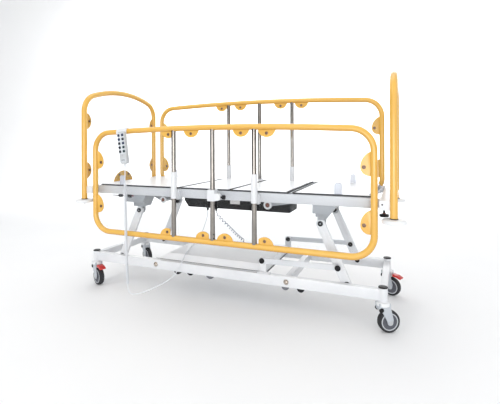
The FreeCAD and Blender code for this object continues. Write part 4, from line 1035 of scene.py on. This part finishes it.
for sg, nm in ((-1, "left"), (1, "right")):
    body = "end_" + nm
    xe = 0.849 * sg
    pts = [Vector((xe, u, v)) for u, v in arched(0.336, 0.527, 1.183, 0.860, 0.105, False)]
    bm = bmesh.new()
    tube(bm, pts, 0.0160, seg=40)
    tube(bm, [Vector((xe, -0.336 + 0.672 * k / 16, 0.575)) for k in range(17)], 0.0125, seg=32)
    fr = add("end_tube_" + nm, bm, body, M["yellow"], "yellow_paint", 60)
    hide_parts("end_frame_" + nm)
    bm = bmesh.new()
    bs = bmesh.new()
    for z in (0.985, 0.695):
        for s3 in (1, -1):
            prism(bm, moon(0.052, 0.0), (Vector((xe, 0.336 * s3, z)), Z, -Y * s3, X), -0.0025, 0.0025, 0.0008)
            screw(bs, (xe + 0.0025 * sg, 0.302 * s3, z), (sg, 0, 0))
            screw(bs, (xe - 0.0065 * sg, 0.302 * s3, z), (-sg, 0, 0))
    prism(bm, moon(0.095, 0.0, n=40), (Vector((xe, 0, 0.579)), Y, Z, X), -0.0025, 0.0025, 0.0008)
    for uu in (-0.045, 0.045):
        screw(bs, (xe + 0.0025 * sg, uu, 0.648), (sg, 0, 0))
        screw(bs, (xe - 0.0065 * sg, uu, 0.648), (-sg, 0, 0))
    add("end_tabs_" + nm, bm, body, M["yellow"], "yellow_paint", 50)
    add("end_screws_" + nm, bs, body, M["bolt"], "chrome", 40)
    paint("end_panel_" + nm, M["clear"])
    soften("end_carrier_" + nm, 0.0025, M["white"], angle=40)
    bm = bmesh.new()
    bn = bmesh.new()
    for s3 in (1, -1):
        o = (xe, 0.336 * s3, 0)
        lathe(bm, [(0.0160, 0.5272), (0.0240, 0.5270), (0.0440, 0.5262), (0.0480, 0.5240), (0.0498, 0.5205), (0.0500, 0.5170), (0.0498, 0.5135), (0.0480, 0.5100), (0.0440, 0.5082), (0.0120, 0.5080), (0.0120, 0.5100), (0, 0.5100)], o, Z, 64)
        lathe(bn, [(0, 0.5012), (0.0060, 0.5012), (0.0085, 0.5020), (0.0090, 0.5035), (0.0090, 0.5080), (0, 0.5080)], o, Z, 32)
        lathe(bn, [(0.0160, 0.5268), (0.0172, 0.5272), (0.0176, 0.5290), (0.0172, 0.5306), (0.0160, 0.5312)], o, Z, 48)
    d = add("bumper_wheels_" + nm, bm, body, M["white_pl"], "white_plastic")
    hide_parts("bumper_discs_" + nm)
    add("bumper_bolts_" + nm, bn, body, M["black"], "black_plastic")
    # clamp knob with lobes
    kb = "clamp_" + nm
    bm = bmesh.new()
    kx = 0.808 * sg
    n = 64
    rows = []
    if sg < 0:
        lathe(bm, [(0, 0.5622), (0.0048, 0.5622), (0.0050, 0.5610), (0.0050, 0.5500), (0.0088, 0.5498), (0.0090, 0.5470), (0.0100, 0.5450)], (kx, -0.290, 0), Z, 32)
        kr, lob, levels = 0.0170, 0.07, ((0.5450, 0.86), (0.5442, 0.94), (0.5420, 0.99), (0.5300, 1.0), (0.5290, 0.96), (0.5277, 0.84), (0.5275, 0.40))
    else:
        lathe(bm, [(0, 0.5622), (0.0043, 0.5622), (0.0045, 0.5610), (0.0045, 0.5420), (0.0070, 0.5400), (0.0072, 0.5384)], (kx, -0.290, 0), Z, 32)
        kr, lob, levels = 0.0200, 0.05, ((0.5385, 0.84), (0.5382, 0.93), (0.5370, 0.985), (0.5300, 1.0), (0.5286, 0.97), (0.5277, 0.90), (0.5275, 0.40))
    for z, s4 in levels:
        rows.append([bm.verts.new((kx + kr * s4 * (1 - lob * (0.5 - 0.5 * math.cos(8 * 2 * math.pi * k / n))) * math.cos(2 * math.pi * k / n),
                                   -0.290 + kr * s4 * (1 - lob * (0.5 - 0.5 * math.cos(8 * 2 * math.pi * k / n))) * math.sin(2 * math.pi * k / n), z)) for k in range(n)])
    for A, B in zip(rows, rows[1:]):
        for k in range(n):
            bm.faces.new((A[k], A[(k + 1) % n], B[(k + 1) % n], B[k]))
    bm.faces.new(rows[0])
    bm.faces.new(list(reversed(rows[-1])))
    kn = add("clamp_handle_" + nm, bm, kb, M["black"], "black_plastic", 50)
    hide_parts("hand_knob_" + nm)

bm = bmesh.new()
lathe(bm, [(0.0046, 0.5400), (0.0064, 0.5400), (0.0066, 0.5406), (0.0066, 0.5440), (0.0058, 0.5450), (0.0046, 0.5450)], (0.808, -0.290, 0), Z, 32)
add("clamp_collar_right", bm, "clamp_right", M["brown"], "black_plastic")
bm = bmesh.new()
lathe(bm, [(0, 0), (0.0034, 0), (0.0036, 0.0004), (0.0034, 0.0012), (0.0018, 0.0016), (0, 0.0016)], (0.8026, -0.3359, 0.5857), (0, -1, 0), 24)
add("carrier_plug_right", bm, "end_right", M["black"], "black_plastic")

# clamp screw under the front beam at the left, with its thin shaft and a red tip
bm = bmesh.new()
lathe(bm, [(0, -0.022), (0.0066, -0.022), (0.0080, -0.019), (0.0088, -0.006), (0.0090, 0.000), (0.0088, 0.004), (0.0070, 0.0065), (0.0030, 0.0072), (0.0026, 0.052), (0, 0.0522)], (-0.638, -0.2800, 0.5508), (-1, 0, 0), 32)
lathe(bm, [(0, 0), (0.0098, 0), (0.0110, 0.003), (0.0110, 0.020), (0.0094, 0.024), (0, 0.024)], (-0.5510, -0.2800, 0.5525), (-1, 0, 0), 32)
add("beam_clamp_screw", bm, "deck", M["black"], "black_plastic")
bm = bmesh.new()
lathe(bm, [(0, 0), (0.0046, 0.0002), (0.0052, 0.0012), (0.0052, 0.0130), (0.0040, 0.0150), (0, 0.0154)], (-0.5360, -0.2800, 0.5530), (-1, 0, 0), 28)
add("beam_clamp_tip", bm, "deck", M["dark_red"], "red_plastic")

# =====================================================================  handset
HX = -0.556


def round_rect(w, h, r, n=8):
    o = []
    for cx, cy, a0 in ((w - r, h - r, 0), (-w + r, h - r, 90), (-w + r, -h + r, 180), (w - r, -h + r, 270)):
        for i in range(n + 1):
            a = rad(a0 + 90.0 * i / n)
            o.append((cx + r * math.cos(a), cy + r * math.sin(a)))
    return o


HZ = 0.9194
HANG = Matrix.Translation((HX, 0, HZ)) @ Matrix.Rotation(rad(-7.5), 4, "Y") @ Matrix.Translation((-HX, 0, -HZ))


HOOK = Matrix.Translation((HX, 0, HZ)) @ Matrix.Rotation(rad(-2.4), 4, "Y") @ Matrix.Translation((-HX, 0, -HZ))


def hung(name, bm, body, mat, slot, smooth=35.0, by=None):
    bm.transform(by or HANG)
    return add(name, bm, body, mat, slot, smooth)


bm = bmesh.new()
rows = []
zc = 0.827
for y, s, in ((-0.3480, 0.86), (-0.3484, 0.93), (-0.3500, 0.975), (-0.3540, 0.995), (-0.3600, 1.0), (-0.3665, 0.995), (-0.3705, 0.972), (-0.3724, 0.93), (-0.3730, 0.88)):
    ring = []
    for u, v in round_rect(0.024, 0.090, 0.0125, 10):
        waist = 1.0 - 0.035 * (1 - ((v + 0.005) / 0.090) ** 2)
        taper = 1.0 if v > 0 else 1.0 - 0.06 * (v / 0.090) ** 2
        ring.append(bm.verts.new((HX + u * waist * taper - (0.024 - 0.024 * s) * (1 if u > 0 else -1), y, zc + v - (0.024 - 0.024 * s) * (1 if v > 0 else -1))))
    rows.append(ring)
for A, B in zip(rows, rows[1:]):
    n = len(A)
    for k in range(n):
        bm.faces.new((A[k], A[(k + 1) % n], B[(k + 1) % n], B[k]))
bm.faces.new(rows[0])
bm.faces.new(list(reversed(rows[-1])))
hs = hung("handset_case", bm, "handset", M["handset"], "white_plastic", 40)
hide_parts("handset_shell")
# hook over the rail
bm = bmesh.new()
arcp = [(-0.0180 * math.cos(math.pi * i / 24.0), 0.0180 * math.sin(math.pi * i / 24.0)) for i in range(25)]
pts2 = [(-0.0180, -0.012), (-0.0180, -0.006)] + arcp + [(0.0180, -0.003), (0.0180, -0.0065)]
n = len(pts2)
sec = round_rect(0.0350, 0.0016, 0.0015, 4)
rws = []
for i, (u, v) in enumerate(pts2):
    b = Vector(pts2[min(n - 1, i + 1)]) - Vector(pts2[max(0, i - 1)])
    b.normalize()
    nrm = Vector((-b.y, b.x))
    rws.append([bm.verts.new((HX - 0.013 + sx, -0.330 + u + nrm.x * sy, HZ + v + nrm.y * sy)) for sx, sy in sec])
for A, B in zip(rws, rws[1:]):
    m = len(A)
    for k in range(m):
        bm.faces.new((A[k], A[(k + 1) % m], B[(k + 1) % m], B[k]))
bm.faces.new(rws[0])
bm.faces.new(list(reversed(rws[-1])))
hung("handset_hook", bm, "handset", M["hook"], "white_plastic", 50, HOOK)
bm = bmesh.new()
block(bm, (HX - 0.0195, -0.3525, 0.8935), (HX + 0.0195, -0.3467, 0.9200), 0.0012)
hung("handset_hook_root", bm, "handset", M["hook"], "white_plastic", 35.0, HOOK)
# keypad foil, keys, marks
ROWS = (0.897, 0.8745, 0.852, 0.8295, 0.807)
bm = bmesh.new()
prism(bm, round_rect(0.0222, 0.0575, 0.005, 6), (Vector((HX, 0, 0.8520)), X, Z, -Y), 0.3728, 0.3734, 0.0002, 1)
prism(bm, round_rect(0.0150, 0.0085, 0.003, 6), (Vector((HX, 0, 0.7585)), X, Z, -Y), 0.3728, 0.3734, 0.0002, 1)
hung("handset_foil", bm, "handset", M["foil"], "white_plastic")
cols = (("key_blue", "key_blue"), ("key_blue", "key_dark"), ("key_dark", "key_blue"), ("key_dark", "key_green"), ("key_dark", "key_green"))
groups = {}
bk = bmesh.new()
for r_i, z in enumerate(ROWS):
    for c_i, dx in enumerate((-0.013, 0.013)):
        g = groups.setdefault(cols[r_i][c_i], bmesh.new())
        prism(g, round_rect(0.0073, 0.0071, 0.0032, 6), (Vector((HX + dx, 0, z)), X, Z, -Y), 0.3700, 0.3746, 0.0006, 2)
        o = Vector((HX + dx, 0, z))
        tri = [(-0.0022, -0.0012), (0.0022, -0.0012), (0.0, 0.0022)] if c_i == 0 else [(-0.0022, 0.0012), (0.0, -0.0022), (0.0022, 0.0012)]
        prism(bk, tri, (o, X, Z, -Y), 0.37455, 0.37470)
        prism(bk, [(-0.0034, -0.0034), (0.0034, -0.0034), (0.0034, -0.0028), (-0.0034, -0.0028)] if c_i == 0 else [(-0.0034, 0.0028), (0.0034, 0.0028), (0.0034, 0.0034), (-0.0034, 0.0034)],
              (o, X, Z, -Y), 0.37455, 0.37470)
for i, (k, g) in enumerate(groups.items()):
    ob = hung("keys_" + k, g, "keypad", M[k], "keys", 40)
    if i == 0:
        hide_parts("handset_keys")
hung("key_marks", bk, "keypad", M["mark"], "keys")
bm = bmesh.new()
zm = 0.7585
prism(bm, [(-0.0095, -0.0055), (-0.0065, -0.0055), (-0.0065, 0.0055), (-0.0095, 0.0055)], (Vector((HX, 0, zm)), X, Z, -Y), 0.37335, 0.37350)
prism(bm, [(0.0065, -0.0055), (0.0095, -0.0055), (0.0095, 0.0055), (0.0065, 0.0055)], (Vector((HX, 0, zm)), X, Z, -Y), 0.37335, 0.37350)
prism(bm, [(-0.0065, 0.0), (0.0065, 0.0), (0.0065, 0.0028), (-0.0065, 0.0028)], (Vector((HX, 0, zm)), X, Z, -Y), 0.37335, 0.37350)
lathe(bm, [(0, 0), (0.0016, 0), (0.0014, 0.0004), (0, 0.0006)], (HX, -0.3733, 0.786), (0, -1, 0), 16)
hung("handset_marks", bm, "handset", M["key_dark"], "keys")
# strain relief at the bottom of the handset, with grooves
bm = bmesh.new()
prof = [(0, 0.010), (0.0060, 0.010), (0.0062, 0.002)]
for k in range(7):
    z = -0.001 - 0.0034 * k
    r0 = 0.0058 - 0.00042 * k
    prof += [(r0, z), (r0, z - 0.0018), (r0 - 0.0009, z - 0.0022), (r0 - 0.0009, z - 0.0031)]
prof += [(0.0026, -0.0255), (0.0023, -0.0262)]
lathe(bm, prof, (-0.5322, -0.3612, 0.7387), Z, 24)
add("handset_relief", bm, "handset", M["cord"], "lead_white", 40)

# =====================================================================  anything still bare
for n, o in NODES.items():
    if not o.hide_render and not n.startswith(("rail_panels", "end_panel")):
        paint(n, M["white"])


# =====================================================================  stage
def floor_material():
    m = Mat("studio_floor")
    f = m.noise(1.4, 3.0)
    m.set(Base_Color=m.mix(m.remap(f, 0.3, 0.7, 0.0, 1.0), (0.90, 0.90, 0.90), (0.885, 0.886, 0.89)), Roughness=0.75)
    m.bump(m.noise(60.0, 2.0), 0.02, 0.001)
    return m.m


bm = bmesh.new()
prof = [(-9.0, 0.0), (3.4, 0.0)]
for k in range(1, 13):
    a = math.pi / 2 * k / 12
    prof.append((3.4 + 2.2 * math.sin(a), 2.2 * (1 - math.cos(a))))
prof.append((5.6, 9.0))
yawc = 0.3875
rows = []
for side in (-14.0, 14.0):
    rows.append([bm.verts.new((-math.sin(yawc) * d + math.cos(yawc) * side, math.cos(yawc) * d + math.sin(yawc) * side, z)) for d, z in prof])
for k in range(len(prof) - 1):
    bm.faces.new((rows[0][k], rows[1][k], rows[1][k + 1], rows[0][k + 1]))
floor = add("studio_sweep", bm, None, floor_material(), None, 80, recalc=False)
for p in floor.data.polygons:
    if p.normal.z < -0.01 or (abs(p.normal.z) < 0.01 and p.normal.y > 0):
        p.flip()

world = bpy.data.worlds.new("studio")
SCN.world = world
world.use_nodes = True
wt = world.node_tree
bg = wt.nodes["Background"]
bg.inputs[1].default_value = 0.82
wc = wt.nodes.new("ShaderNodeTexCoord")
wd = wt.nodes.new("ShaderNodeVectorMath")
wd.operation = "DOT_PRODUCT"
wd.inputs[1].default_value = (-0.955, -0.296, 0.0)
wt.links.new(wc.outputs["Generated"], wd.inputs[0])
wr = wt.nodes.new("ShaderNodeMapRange")
wr.interpolation_type = "SMOOTHSTEP"
wr.inputs["From Min"].default_value = 0.68
wr.inputs["From Max"].default_value = 0.92
wt.links.new(wd.outputs["Value"], wr.inputs["Value"])
wm = wt.nodes.new("ShaderNodeMix")
wm.data_type = "RGBA"
wm.inputs[6].default_value = (0.97, 0.985, 1.0, 1)
wm.inputs[7].default_value = (0.20, 0.20, 0.21, 1)
# the grey card at the side only shows in gloss, and the backdrop itself is plain
wl = wt.nodes.new("ShaderNodeLightPath")
wk = wt.nodes.new("ShaderNodeMath")
wk.operation = "MULTIPLY"
wt.links.new(wr.outputs[0], wk.inputs[0])
wt.links.new(wl.outputs["Is Glossy Ray"], wk.inputs[1])
wt.links.new(wk.outputs[0], wm.inputs[0])
wt.links.new(wm.outputs[2], bg.inputs[0])


def area(name, loc, target, size, power, color=(1, 1, 1)):
    li = bpy.data.lights.new(name, "AREA")
    li.shape = "RECTANGLE"
    li.size, li.size_y = size
    li.energy = power
    li.color = color
    ob = bpy.data.objects.new(name, li)
    SCN.collection.objects.link(ob)
    ob.location = loc
    ob.rotation_euler = (Vector(target) - Vector(loc)).to_track_quat("-Z", "Y").to_euler()
    return ob


area("key_softbox", (-1.6, -3.2, 3.4), (0, 0, 0.6), (2.6, 2.0), 23, (1.0, 0.985, 0.96))
area("fill_softbox", (3.2, -2.4, 2.4), (0.2, 0, 0.5), (2.2, 2.2), 12, (0.97, 0.985, 1.0))
area("low_softbox", (1.0, -4.0, 0.60), (0, 0, 0.20), (3.6, 1.0), 50)
area("top_softbox", (0.0, 0.4, 4.2), (0, 0, 0.4), (3.6, 2.4), 27)
area("back_wash", (-1.6, 3.2, 3.0), (-2.2, 6.0, 1.2), (4.5, 2.0), 165)
area("back_wash_right", (2.4, 4.2, 3.0), (1.8, 7.0, 1.4), (4.0, 2.0), 115)
SCN.view_settings.view_transform = "Standard"
SCN.view_settings.look = "None"
